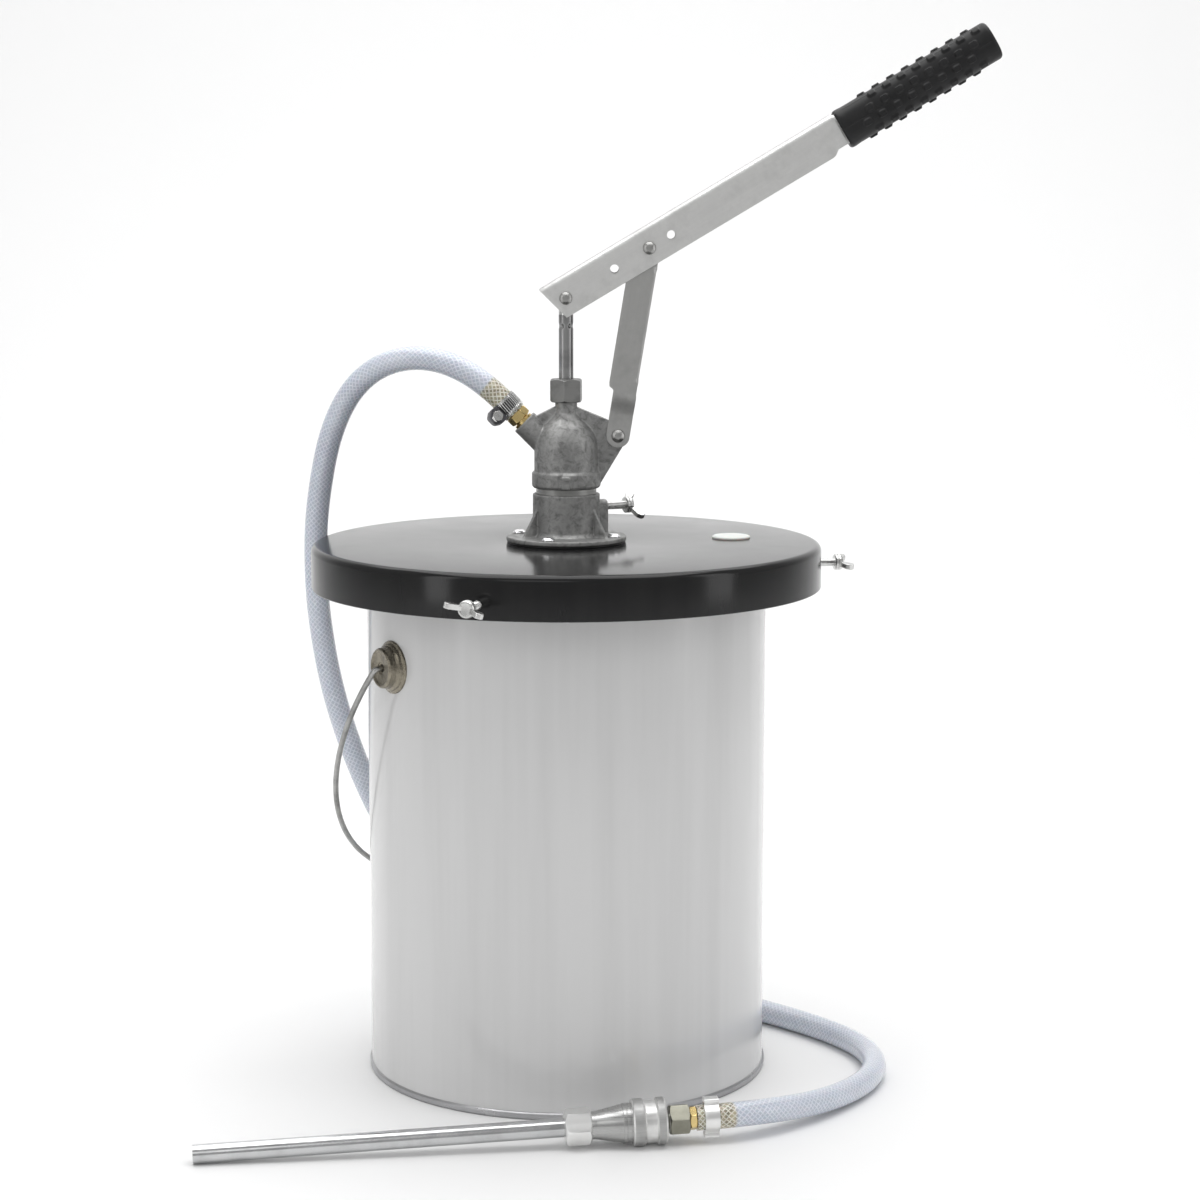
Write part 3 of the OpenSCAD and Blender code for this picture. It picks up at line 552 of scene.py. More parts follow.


# The fifth argument of each enamel is painted light in its creases: painted shade on the white, painted sheen
# on the black.
WHITE = enamel("white_enamel", (0.65, 0.65, 0.65), 0.17, 0.5, (0.6, 0.6, 0.6), 0.25, coat=0.4)
BLACK = enamel("black_enamel", (0.008, 0.008, 0.0085), 0.14, 0.008, (0.012, 0.012, 0.012), 0.08, 1.37)
TINPLATE = rolled_sheet("tinplate", (0.45, 0.45, 0.46), 0.3, (300, 300, 3))
ZINC_SHEET = rolled_sheet("zinc_sheet", (0.7, 0.7, 0.69), 0.48, spots=0.18, Specular_Tint=(0.5, 0.5, 0.5, 1))
LINK_SHEET = rolled_sheet("link_sheet", (0.47, 0.47, 0.46), 0.4, (300, 300, 3), 0.2)
DULL_ZINC = rolled_sheet("dull_zinc", (0.4, 0.4, 0.39), 0.34, (160, 160, 160), 0.4)
ZINC = rolled_sheet("zinc_plate", (0.68, 0.68, 0.67), 0.24, (60, 60, 60))
BRONZED = casting("aged_zinc", (0.26, 0.235, 0.185), 0.26, 6.0)
ALLOY = casting("cast_alloy", (0.33, 0.33, 0.325), 0.6)
TUBE_STEEL = turned_metal("drawn_steel", (0.36, 0.36, 0.35), 0.42, along="Z")
ROD_STEEL = turned_metal("ground_rod", (0.34, 0.34, 0.34), 0.3, rings=250.0, stain=0.2, along="Z")
NUT_STEEL = turned_metal("nut_zinc", (0.24, 0.24, 0.235), 0.38, rings=700.0, stain=0.2, along="Z")
SPOUT_STEEL = turned_metal("spout_steel", (0.61, 0.615, 0.62), 0.2, rings=60.0)
TURNED = turned_metal("turned_steel", (0.48, 0.48, 0.475), 0.3, groove=0.02)
SATIN_STEEL = turned_metal("satin_steel", (0.8, 0.8, 0.79), 0.36, groove=0.02)
NICKEL = turned_metal("satin_nickel", (0.9, 0.9, 0.89), 0.36, rings=200.0, stain=0.04)
KNURLED = turned_metal("knurled_steel", (0.5, 0.5, 0.495), 0.5, rings=1500.0, groove=0.03)
CHROME = turned_metal("bright_chrome", (0.86, 0.86, 0.87), 0.1, rings=40.0, stain=0.03)
BRASS = turned_metal("turned_brass", (0.78, 0.6, 0.27), 0.2, rings=500.0)
OLIVE = turned_metal("olive_zinc", (0.3, 0.295, 0.245), 0.3, rings=120.0, stain=0.12)
DARK_STEEL = rolled_sheet("dark_steel", (0.12, 0.12, 0.13), 0.4, (80, 80, 80), 0.3)
SLOT_DARK = moulded("slot_shadow", (0.03, 0.03, 0.032), 0.6)
RUBBER = moulded("black_rubber", (0.01, 0.01, 0.0105), 0.44, 0.05, 0.008, IOR=1.35)
PLASTIC = moulded("white_polythene", (0.72, 0.72, 0.69), 0.42, 0.02, 0.05, Subsurface_Weight=0.1)
PACKING = moulded("waxed_packing", (0.38, 0.32, 0.2), 0.7, 0.2, 0.06)

# The materials of each of the record's material slots
SLOTS = {
    "pail_paint": [WHITE], "lid_paint": [BLACK], "tinplate": [TINPLATE], "cast_alloy": [ALLOY],
    "zinc_steel": [ZINC_SHEET, LINK_SHEET, DULL_ZINC, ZINC, BRONZED, NUT_STEEL],
    "bright_steel": [ROD_STEEL, TURNED, SATIN_STEEL, NICKEL, CHROME], "dark_steel": [DARK_STEEL],
    "brass": [BRASS], "olive_steel": [OLIVE], "black_rubber": [RUBBER], "white_plastic": [PLASTIC],
}
SLOT_OF = {material: slot for slot, materials in SLOTS.items() for material in materials}

NODE_MATERIALS = {
    "barrel": TUBE_STEEL, "head_seal": RUBBER, "gland_packing": PACKING, "piston_body": BRASS,
    "piston_cups": RUBBER, "piston_nut": ZINC, "piston_ball": CHROME, "foot_valve_body": ALLOY,
    "foot_ball": CHROME, "foot_stop_pin": ZINC, "suction_strainer": ZINC, "rod_end": ZINC,
    "lid_nuts": ZINC, "coupler_seal": RUBBER, "coupler_balls": CHROME, "spout_tube": SPOUT_STEEL,
}
for node_name, node_material in NODE_MATERIALS.items():
    node_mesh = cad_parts[node_name].data
    node_mesh.materials.clear()
    node_mesh.materials.append(node_material)


# ---- camera ----

camera = bpy.data.objects.new("camera", bpy.data.cameras.new("camera"))
camera.data.sensor_width = 36.0
camera.data.lens = 85.06
camera.data.clip_start, camera.data.clip_end = 0.05, 60.0
camera.location = (0.0241, -2.0173, 0.6345)
camera.rotation_euler = (math.radians(90 - 8.3), 0.0, 0.0)
bpy.context.scene.collection.objects.link(camera)
bpy.context.scene.camera = camera


# ---- hose ----

# The same points as in the CAD source, in metres
HOSE_ROUTE = [
    (-0.0364, 0, 0.4751), (-0.05, 0, 0.4887), (-0.068, 0.002, 0.503), (-0.089, 0.007, 0.512),
    (-0.11, 0.014, 0.514), (-0.131, 0.023, 0.509), (-0.15, 0.032, 0.496), (-0.164, 0.04, 0.476),
    (-0.174, 0.047, 0.451), (-0.18, 0.053, 0.424), (-0.185, 0.057, 0.392), (-0.186, 0.059, 0.36),
    (-0.185, 0.061, 0.328), (-0.181, 0.062, 0.296), (-0.176, 0.063, 0.268), (-0.168, 0.065, 0.237),
    (-0.157, 0.071, 0.203), (-0.146, 0.079, 0.174), (-0.135, 0.09, 0.149), (-0.121, 0.104, 0.124),
    (-0.103, 0.119, 0.099), (-0.081, 0.134, 0.075), (-0.055, 0.147, 0.053), (-0.027, 0.155, 0.034),
    (0.002, 0.158, 0.02), (0.032, 0.156, 0.011), (0.062, 0.149, 0.0086), (0.092, 0.136, 0.0086),
    (0.121, 0.116, 0.0086), (0.149, 0.09, 0.0086), (0.176, 0.062, 0.0086), (0.202, 0.029, 0.0086),
    (0.22, -0.007, 0.0086), (0.224, -0.047, 0.0086), (0.212, -0.085, 0.0086), (0.191, -0.118, 0.0095),
    (0.166, -0.146, 0.012), (0.14, -0.168, 0.0155), (0.1145, -0.1836, 0.0177), (0.0886, -0.1875, 0.01686)]


def spline(points, steps):
    """Uniform cubic B-spline that starts and ends at the first and last points."""
    p = np.asarray(points, float)
    p = np.vstack([2 * p[0] - p[1], p, 2 * p[-1] - p[-2]])
    made = []
    for i in range(1, len(p) - 2):
        for k in range(steps + (i == len(p) - 3)):
            t = k / steps
            made.append(((1 - t) ** 3 * p[i - 1] + (3 * t**3 - 6 * t * t + 4) * p[i]
                         + (-3 * t**3 + 3 * t * t + 3 * t + 1) * p[i + 1] + t**3 * p[i + 2]) / 6)
    return np.array(made)


def make_hose():
    """A hollow tube along the route, with the distance along and around it as UV, in millimetres."""
    centre = spline(HOSE_ROUTE, 10) / MM
    run = np.concatenate([[0], np.cumsum(np.linalg.norm(np.diff(centre, axis=0), axis=1))])
    sides = 32
    outer, inner = (swept(centre, r, sides, (0, 1, 0))[0] for r in (HOSE_R, HOSE_BORE_R))
    paint = braided_hose("braided_hose", run[-1], HOSE_ON_BARBS)
    SLOT_OF[paint] = "pvc"
    hose = make("delivery_hose", double_wall(outer, inner, sides), paint, node="hose", angle=50)
    uv = hose.data.uv_layers.new(name="run")
    for face in hose.data.polygons:
        places = [divmod(hose.data.loops[i].vertex_index % len(outer), sides) for i in face.loop_indices]
        columns = [column for row, column in places]
        wraps = max(columns) == sides - 1 and min(columns) == 0
        for i, (row, column) in zip(face.loop_indices, places):
            turn = sides if wraps and column == 0 else column
            uv.data[i].uv = (run[row], 2 * math.pi * HOSE_R * turn / sides)
    return hose, centre * MM, run[-1] * MM


hose, hose_line, hose_length = make_hose()


# ---- pail ----

WALL, BEAD_R, BEAD_Z = 0.8, 2.5, 378.5
SIDE_SEAM = ((96.2, -0.1), (96.4, 0.25), (97.6, 0.25), (97.8, -0.1))
BAIL_DROP, BAIL_HALF, BAIL_STRAIGHT, BAIL_BOW, BAIL_R = 49.5, 159.0, 35.0, 226.0, 2.0


def make_pail():
    inner = PAIL_R - WALL
    bead = circle(BEAD_R, PAIL_R + 1.2, BEAD_Z, 20, -118, 296)
    wall = [(inner, 4.6), (PAIL_R, 4.6), (PAIL_R, 330), (PAIL_R, BEAD_Z - 2.6), *bead,
            (inner, BEAD_Z - 1.5), (inner, 330)]
    make("pail_wall", lathe(wall, 192), WHITE, node="pail_body", angle=50)
    ring = fillet([(0, 4, 0), (138.5, 4), (140.6, 0.4), (141.6, 0, 0.3), (143.6, 0), (144.4, 1.4),
                   (144.4, 4.2), (143.4, 5.2), (141.4, 5.2), (139.6, 5, 0.2), (0, 5, 0)], 0.6)
    make("pail_seam_ring", lathe(ring, 192), TINPLATE, node="pail_base")
    seam = [(math.radians(a), PAIL_R + rise) for a, rise in SIDE_SEAM]
    rows = [[(r * math.cos(a), r * math.sin(a), z) for a, r in seam] for z in np.linspace(6, 375, 24)]
    make("pail_side_seam", sheet(rows), WHITE)


def make_ear(name, side, node=None):
    """A bail ear: a flange that follows the pail, and a stepped boss with the wire's hole."""
    profile = fillet([(18.6, 0, 0), (18.4, 1.3, 0.4), (16.7, 1.7), (16.3, 3.2), (15.2, 3.9), (14.5, 4.6),
                      (14.1, 8.9), (13.1, 10), (11.6, 10), (10.9, 9.2), (4.4, 9.2), (3.8, 8.4),
                      (2.6, 8.4), (2.5, 1, 0)], 0.6, 3, closed=False)
    around, points = 72, []
    for rho, height in profile:
        crimp = 0.3 * math.exp(-((height - 2.6) / 1.2) ** 2)
        settled = max(0.0, min(1.0, (height - 1.7) / 2.5))
        for k in range(around):
            a = 2 * math.pi * k / around
            r = rho + crimp * math.cos(9 * a)
            y, z = r * math.cos(a), r * math.sin(a)
            curve = math.sqrt(PAIL_R**2 - y * y) - PAIL_R
            points.append((PAIL_R + 0.05 + height + curve * (1 - settled), y, z))
    ear = points, grid_faces(len(profile), around)
    make(name, ear, BRONZED, BAIL @ turned(side, "Z"), node=node, angle=40)


def make_bail():
    drop = math.radians(BAIL_DROP)
    hook = [(147, 0), (152.6, 0), (155.2, 0.6), (156.6, 2.6), (157.2, 7), (158.4, 18)]
    arch = [(BAIL_HALF * math.cos(a), BAIL_STRAIGHT + BAIL_BOW * math.sin(a))
            for a in np.linspace(0, math.pi, 90)]
    flat = [*hook, *arch, *[(-x, q) for x, q in reversed(hook)]]
    centre = spline([(x, q * math.cos(drop), -q * math.sin(drop)) for x, q in flat], 4)
    make("bail_handle", moved(swept(centre, BAIL_R, 16), BAIL), DULL_ZINC, WORLD, "bail", "bail_wire")


make_pail()
make_ear("bail_ear_right", 0, "bail_ears")
make_ear("bail_ear_left", 180)
make_bail()


# ---- lid and its screws ----

# Azimuth of each lid screw, and how far its wings are turned
SCREWS = {"front": (-108, 75), "right": (12, -80), "back": (132, 40)}
SCREW_Z = LID_LOW + 10.5
RIVET_R = 36.0
RIVET_AZIMUTHS = (-20, 70, 160, -110)
RIB_AZIMUTHS = (-34, 88, -150)
VENT = placed(middle("vent_plug").x, middle("vent_plug").y)


def make_lid():
    inner, lip, under = LID_R - LID_SHEET, LID_LOW + 2.3, LID_TOP - LID_SHEET
    outline = [(23, LID_TOP), (LID_R, LID_TOP, 5), (LID_R, LID_LOW, 0.8), (inner - 1.3, LID_LOW, 0.8),
               (inner - 1.3, lip, 0.3), (inner, lip, 0.2), (inner, under, 3.5), (23, under)]
    lid = make("pail_lid", lathe(fillet(outline, 0.2, 8), 256), BLACK, node="lid", angle=30)
    holes = [radial(rod(3.25, LID_R - 12, LID_R + 12), azimuth, SCREW_Z) for azimuth, _ in SCREWS.values()]
    cut(lid, *holes, moved(rod(11, LID_TOP - 5, LID_TOP + 5), VENT), angle=30)


def threaded(r, start, end, pitch=1.0, depth=0.32, segments=20, per_pitch=6):
    """A screw thread along Z: a bar whose radius follows a helix."""
    points = []
    for z in np.linspace(start, end, int((end - start) / pitch * per_pitch) + 1):
        taper = min(1.0, (z - start) / 1.5 + 0.35)
        for k in range(segments):
            phase = (z / pitch - k / segments) % 1.0
            radius = (r - depth * abs(2 * phase - 1)) * taper
            a = 2 * math.pi * k / segments
            points.append((radius * math.cos(a), radius * math.sin(a), z))
    return tube(points, segments)


def make_wing_screw(name, azimuth, z, tip, hub, turn, body, node):
    """A wing screw along a radius: threaded shaft, turned hub and two cast wings."""
    at = placed(0, 0, z, (azimuth, "Z"))
    make(name + "_thread", threaded(2.98, tip, hub + 0.5), ZINC, at @ Z_TO_X, body, node, 45)
    collar = [(0, 0, 0), (5.2, 0), (5.9, 0.7), (5.9, 1.7), (5.2, 2.1), (5.9, 2.6), (5.9, 4.1), (5.2, 5.4),
              (4, 5.4), (3.6, 5.1), (0, 5.1, 0)]
    collar = moved(lathe(fillet(collar, 0.35), 64), placed(0, 0, hub))
    make(name + "_hub", collar, ZINC, at @ Z_TO_X, body)
    wing = fillet([(hub + 1.2, 1), (hub + 4.8, 1), (hub + 5, 3), (hub + 11.4, 9.4), (hub + 11.6, 13),
                   (hub + 8.6, 14.4), (hub + 5.4, 12)], 1.7, 4)
    wings = joined(*[prism([(x, side * z) for x, z in wing], -1.85, 1.85) for side in (-1, 1)])
    cast(make(name + "_wings", moved(wings, turned(turn, "X")), ZINC, at, body), 0.3, 3)


def make_rivets():
    top = FLANGE_LOW + 3.6
    dome = fillet([(0, top, 0), (4.9, top, 0.3), (4.7, top + 0.9, 0.6), (3.2, top + 2.3, 1.2),
                   (0, top + 2.8, 0)], 0.8, 4)
    under = [(0, LID_TOP - 1.6), (4, LID_TOP - 1.6), (2.8, LID_TOP - 2.8), (0, LID_TOP - 3.2)]
    rivet = joined(lathe(dome, 40), rod(2, LID_TOP - 1.7, top + 0.2), lathe(under, 24))
    rivets = joined(*[moved(rivet, turned(a, "Z") @ placed(RIVET_R)) for a in RIVET_AZIMUTHS])
    make("flange_rivet_heads", rivets, CHROME, node="flange_rivets")


def make_vent():
    cap = [(0, -5.5, 0), (9, -5.5), (10.8, -4), (10.3, 0), (13.8, 0, 0.2), (13.8, 1.2), (12.4, 2.1),
           (10.8, 1.8), (9.6, 2.2), (0, 2.4, 0)]
    cap = moved(lathe(fillet(cap, 0.5), 64), placed(0, 0, LID_TOP))
    make("vent_cap", cap, PLASTIC, VENT, "vent", "vent_plug")


make_lid()
for number, (where, (azimuth, turn)) in enumerate(SCREWS.items(), 1):
    make_wing_screw(where + "_screw", azimuth, SCREW_Z, PAIL_R + 0.3, LID_R + 17.6, turn,
                    where + "_lid_screw", f"lid_screw_{number}")
make_rivets()
make_vent()


# ---- pump body ----

BOSS_AZIMUTH, CLAMP_SCREW_Z, BOSS_R = 25, 407.0, 31.0
DOME_R = 22.8
ROD_BORE_R, BARREL_BORE_R = ROD_R + 0.05, BARREL_R + 0.05


def make_base_flange():
    plate = FLANGE_LOW + 3.5
    body = lathe(fillet([(0, FLANGE_LOW, 0), (43, FLANGE_LOW), (42.8, plate), (26, plate, 1.5),
                         (24.1, plate + 2.5, 2), (23.9, SLEEVE_TOP), (0, SLEEVE_TOP, 0)], 0.7), 128)
    rib = prism([(22, plate - 1), (36.5, plate - 1), (35, plate + 0.8), (24.4, plate + 19.5),
                 (22, plate + 19.5)], -1.3, 1.3)
    pad = prism([(15, plate - 1), (BOSS_R, plate - 1), (BOSS_R, CLAMP_SCREW_Z), (15, CLAMP_SCREW_Z)], -5, 5)
    parts = [body, *(moved(rib, turned(a, "Z")) for a in RIB_AZIMUTHS), moved(pad, turned(BOSS_AZIMUTH, "Z")),
             radial(rod(5, 15, BOSS_R), BOSS_AZIMUTH, CLAMP_SCREW_Z)]
    flange = cast(make("base_flange_casting", joined(*parts), ALLOY, node="base_flange"), 0.5, 3)
    rivet_holes = [moved(rod(2.05, 370, 400), turned(a, "Z") @ placed(RIVET_R)) for a in RIVET_AZIMUTHS]
    cut(flange, rod(BARREL_BORE_R, 370, 430, 96), radial(rod(3.05, 18, 40), BOSS_AZIMUTH, CLAMP_SCREW_Z),
        *rivet_holes, angle=60)
    gasket = fillet([(23, LID_TOP), (42.4, LID_TOP), (42.2, FLANGE_LOW), (23, FLANGE_LOW)], 0.3)
    make("flange_gasket_ring", lathe(gasket, 96), RUBBER, node="flange_gasket")
    make_wing_screw("barrel_screw", BOSS_AZIMUTH, CLAMP_SCREW_Z, BARREL_R + 0.3, 46, -54,
                    "barrel_screw", "clamp_screw")


def make_pump_head():
    dome = [(0, COLLAR_LOW, 0), (23, COLLAR_LOW), (24.5, COLLAR_LOW + 1.6), (24.5, COLLAR_TOP - 0.6),
            (23.4, COLLAR_TOP + 0.2), (DOME_R, COLLAR_TOP + 1)]
    dome += [(*point, 0) for point in circle(DOME_R, 0, DOME_Z, 9, 0, 45)]
    dome += [(10.6, 471.5, 2), (8.6, 474.6, 1), (7.7, 478), (7.9, NUT_LOW), (7.7, NECK_TOP), (0, NECK_TOP, 0)]
    right = prism([(0, COLLAR_TOP - 8), (24.6, COLLAR_TOP - 8), (LUG_X + 3.2, LUG_Z - 8),
                   (LUG_X + 7.4, LUG_Z + 3), (LUG_X - 8.5, LUG_Z + 11.5), (7.9, 479), (0, 479)], -4, 4)
    left = prism([(0, OUTLET_Z), (-26, 468), (-21, 473), (-8.3, 479.4), (0, 479)], -4, 4)
    key = prism(fillet([(-3, COLLAR_LOW + 0.6), (3, COLLAR_LOW + 0.6), (3, COLLAR_LOW + 9.6),
                        (-3, COLLAR_LOW + 9.6)], 1), -25.7, -20)
    shape = joined(lathe(fillet(dome, 0.6), 128), right, left, prism(circle(8, LUG_X, LUG_Z, 48), -4, 4),
                   moved(rod(9.5, 8, OUTLET_FACE, 64, 0.6), ON_OUTLET), key)
    head = cast(make("pump_head_casting", shape, ALLOY, node="pump_head"), 0.5, 3)
    bore = moved(rod(6.95, OUTLET_FACE - 9, OUTLET_FACE + 5), ON_OUTLET)
    ceiling = high("barrel").z + 1.5
    cavity = lathe([(0, 410), (BARREL_BORE_R, 410), (BARREL_BORE_R, ceiling), (18, ceiling), (18, DOME_Z),
                    (12.7, DOME_Z + 12.7), (ROD_BORE_R, DOME_Z + 17), (ROD_BORE_R, 495), (0, 495)], 96)
    cut(head, cavity, bore, cross_rod(3.01, LUG_X, LUG_Z, 10), angle=60)


def make_packing_nut():
    nut = make("packing_gland_nut", chamfered_hexagon(21.5, NUT_LOW, NUT_TOP, 1.6, 25), NUT_STEEL,
               node="packing_nut", angle=25)
    bore = lathe([(0, NUT_LOW - 1), (8, NUT_LOW - 1), (8, NUT_TOP - 3.4), (ROD_BORE_R, NUT_TOP - 3.4),
                  (ROD_BORE_R, NUT_TOP + 1), (0, NUT_TOP + 1)], 64)
    cut(nut, bore, angle=25)


def make_rod():
    """The plunger rod, with six dents where its hollow end is crimped on the rod end."""
    start, end = low("plunger_rod").z, high("plunger_rod").z
    crimp = ROD_PIVOT_Z - 20
    heights = sorted({*np.linspace(start, crimp - 4, 12), *np.linspace(crimp - 4, crimp + 4, 33),
                      *np.linspace(crimp + 4, end, 6)})

    def dent(a, r, h):
        if r < ROD_R - 0.1:
            return 0.0
        across = math.radians((math.degrees(a) + 30) % 60 - 30) * r
        return -1.3 * math.exp(-((h - crimp) / 1.2) ** 2 - (across / 1.2) ** 2)

    outline = [(0, start), (ROD_R - 0.5, start), *[(ROD_R, h) for h in heights[1:-1]], (ROD_R, end), (3, end),
               (3, end - 14), (0, end - 14)]
    make("plunger_rod_bar", lathe(outline, 96, dent), ROD_STEEL, body="plunger", node="plunger_rod")


make_base_flange()
make_pump_head()
make_packing_nut()
make_rod()


# ---- linkage ----

LEVER_W, LEVER_TOP, LEVER_LOW, SHEET = 25.0, 14.8, -12.2, 2.0
SPARE_HOLES = (39.9, 86.4)
GRIP_START, GRIP_LENGTH, GRIP_CROWN = 226.0, 123.0, 3.4
GRIP_HALF_W, GRIP_HALF_H, GRIP_MIDDLE = 13.2, 14.2, 1.2
# Where each row of nubs runs round the grip, in degrees, and how far it is shifted along
NUB_ROWS = {0: 0, 40: 6, 73: 0, 107: -6, 140: 0, 180: -6, 220: 0, 253: -6, 287: 0, 320: 6}
FIRST_NUB, NUB_PITCH, NUBS = 24.0, 11.9, 8


def rivet_pin(name, at, half, node, body, head_r=4.8):
    """A pin along Y with a domed head at each end."""
    head = [(3, half, 0), (head_r, half, 0.4), (4.2, half + 1.6, 1), (2.4, half + 2.7, 1), (0, half + 2.9, 0)]
    outline = [(r, -h, corner) for r, h, corner in reversed(head)] + head
    make(name, moved(lathe(fillet(outline, 0.6, 4), 48), turned(90, "X")), DULL_ZINC, at, body, node)


def thicken(piece, thickness, edge=0.25):
    """Gives a sheet its thickness, half to each side."""
    with_modifier(piece, "SOLIDIFY", thickness=thickness * MM, offset=0.0, use_even_offset=True,
                  use_quality_normals=True)
    return soften(piece, edge, 2, 50)


def channel(width, top, bottom, start, end, steps=24, bend=2.5):
    """The middle surface of a channel along X that opens downwards; start and end give X at a height."""
    half, crown = width / 2 - SHEET / 2, top - SHEET / 2
    sides = [*np.linspace(bottom, bottom + 4.2, 15), *np.linspace(bottom + 5, crown - bend, 8)]
    corner = [(half - bend + bend * math.sin(a), crown - bend + bend * math.cos(a))
              for a in np.radians([0, 18, 36, 54, 72])]
    flat = np.linspace(-half + bend, half - bend, 8)[1:-1]
    section = [(-half, v) for v in sides] + [(-y, v) for y, v in reversed(corner)]
    section += [(y, crown) for y in flat] + corner + [(half, v) for v in reversed(sides)]
    return sheet([[(start(v) + (end(v) - start(v)) * share, y, v) for y, v in section]
                  for share in np.linspace(0, 1, steps)])


def make_lever():
    def front(v):
        return -13.4 + (LEVER_TOP - v) * (6.9 / 27)

    def shoulder(v):
        """The side's lower corner is scalloped: it curves up, then out under the grip."""
        rise = (v - LEVER_LOW) / 4.2
        return 224.5 if rise >= 1 else 211 + 8.5 * math.acos(1 - 2 * rise) / math.pi

    lever = make("lever_channel_sheet", channel(LEVER_W, LEVER_TOP, LEVER_LOW, front, shoulder, 60),
                 ZINC_SHEET, LEVER, "lever", "lever_channel")
    thicken(lever, SHEET)
    holes = [(3.0, 0), (3.0, LEVER_ARM), *[(3.15, x) for x in SPARE_HOLES]]
    cut(lever, *[cross_rod(r, x, 0, 40) for r, x in holes], angle=40)
    tongue = channel(18, LEVER_TOP - 1, -9, lambda v: 216, lambda v: 330, 8)
    thicken(make("lever_tongue", tongue, ZINC_SHEET, LEVER, "lever"), SHEET)


def make_grip():
    """A rubber grip with rows of raised nubs and a parting line on each side."""
    around, cap = 176, 12
    angles = np.arange(around) * 2 * math.pi / around
    degrees = np.degrees(angles)
    sin, cos = np.sin(angles), np.cos(angles)
    reach = (np.abs(sin / GRIP_HALF_W) ** 2.6 + np.abs(cos / GRIP_HALF_H) ** 2.6) ** (-1 / 2.6)
    straight = GRIP_LENGTH - GRIP_CROWN

    def across(line):
        """Distance round the grip from a line at so many degrees."""
        return np.radians((degrees - line + 180) % 360 - 180) * reach

    def ring(u, y, z):
        return [(GRIP_START + u, a, b) for a, b in zip(y, z)]

    points = []
    for u in (0, 0.3, 0.8, 1.6, *np.linspace(2.4, straight, 190)):
        r = reach - 0.9 * max(0.0, 1 - u / 1.6) ** 2 + 0.35 * math.exp(-((u - 3) / 3) ** 2)
        for line, shift in NUB_ROWS.items():
            for k in range(NUBS):
                along = abs(u - (FIRST_NUB + shift + k * NUB_PITCH))
                if along <= 5:
                    off = np.hypot(np.maximum(np.abs(across(line)) - 0.9, 0), max(along - 1.6, 0)) - 1.3
                    r = r + 1.5 * ease(0.5 - off / 0.9)
        for line in (90, 270):
            r = r - 0.35 * np.exp(-((across(line) / 0.35) ** 2))
        points += ring(u, r * sin, GRIP_MIDDLE + r * cos)
    for k in range(1, cap + 1):
        a = math.pi / 2 * k / cap
        r = reach * (math.cos(a) ** 0.2 if k < cap else 0.0)
        points += ring(straight + GRIP_CROWN * math.sin(a), r * sin, GRIP_MIDDLE + r * cos)
    base = len(points)
    faces = grid_faces(base // around, around)
    for u in (0, 4, 104.5):
        points += ring(u, 9.1 * np.clip(1.35 * sin, -1, 1), 2.4 + 11.5 * np.clip(1.35 * cos, -1, 1))
    faces += [tuple(base + i for i in f) for f in grid_faces(3, around)]
    faces += [(k, base + k, base + (k + 1) % around, (k + 1) % around) for k in range(around)]
    faces += [tuple(base + 2 * around + k for k in range(around))]
    make("lever_grip_sleeve", (points, faces), RUBBER, LEVER, "lever", "lever_grip", 60)


def make_link():
    """The link: two sides joined by a back wall, pinched together at the pump head's lug."""
    head, half, left, right = LINK_LENGTH - 2.5, 9.95, -12.2, 7.7
    web_low, web_high, relief, bend = 38.0, 122.0, 4.0, 3.0
    wide, narrow = 10.2 - SHEET / 2, 6.3 - SHEET / 2

    def sides_at(h):
        """Left and right edge of the side plates at a height."""
        if h < 0:
            reach = math.sqrt(max(0.0, 8.3**2 - h * h))
            return -reach, reach
        if h > head:
            reach = math.sqrt(max(0.0, half**2 - (h - head) ** 2))
            return -2.25 - reach, -2.25 + reach
        return -8.4 + (left + 8.4) * ease((h - 31.5) / 3), 8.2 + (right - 8.2) * ease((h - 28) / 4)

    heights = [*(8.3 * np.sin(np.radians(np.linspace(-89.5, 0, 10)))), *np.linspace(2, head - 1, 90),
               *(head + half * np.sin(np.radians(np.linspace(0, 89.5, 12))))]
    rows, folds = [], []
    for h in heights:
        n0, n1 = sides_at(h)
        y = narrow + (wide - narrow) * ease((h - 12) / 20)
        fold = min(ease((h - web_low) / relief), ease((web_high - h) / relief))
        side = [(n, y) for n in np.linspace(n0, max(n0, n1 - bend), 8)]
        flat = [(n1 - bend + bend * k / 5, y) for k in range(1, 6)] if n1 - n0 > bend else [(n1, y)] * 5
        arc = [(right - bend - 1 + bend * math.sin(a), y - bend + bend * math.cos(a))
               for a in np.radians([18, 36, 54, 72, 90])]
        side += [(f[0] + (a[0] - f[0]) * fold, f[1] + (a[1] - f[1]) * fold) for f, a in zip(flat, arc)]
        edge, depth = side[-1]
        web = [(edge, depth * t) for t in (0.6, 0.2, -0.2, -0.6)]
        rows.append([(n, b, h) for n, b in [*side, *web, *[(n, -b) for n, b in reversed(side)]]])
        folds.append(fold)
    # The web between the two sides is left open where the sheet isn't fully folded
    points, faces = sheet(rows)
    columns, last = len(rows[0]) - 1, len(rows[0]) - 13
    faces = [face for n, face in enumerate(faces)
             if not 12 <= n % columns < last or min(folds[n // columns:n // columns + 2]) > 0.999]
    link = make("link_sheet", (points, faces), LINK_SHEET, LINK, "link", "link_strap")
    thicken(link, SHEET, 0.3)
    slant = math.degrees(math.atan2(1.2, 4.9))
    hole = circle(5.3, 1, LINK_LENGTH - 0.5, 16, slant - 90, 180)
    hole += circle(5.3, -3.9, LINK_LENGTH - 1.7, 16, slant + 90, 180)
    cut(link, prism(hole, -20, 20), cross_rod(3.05, 0, 0, 20), angle=40)


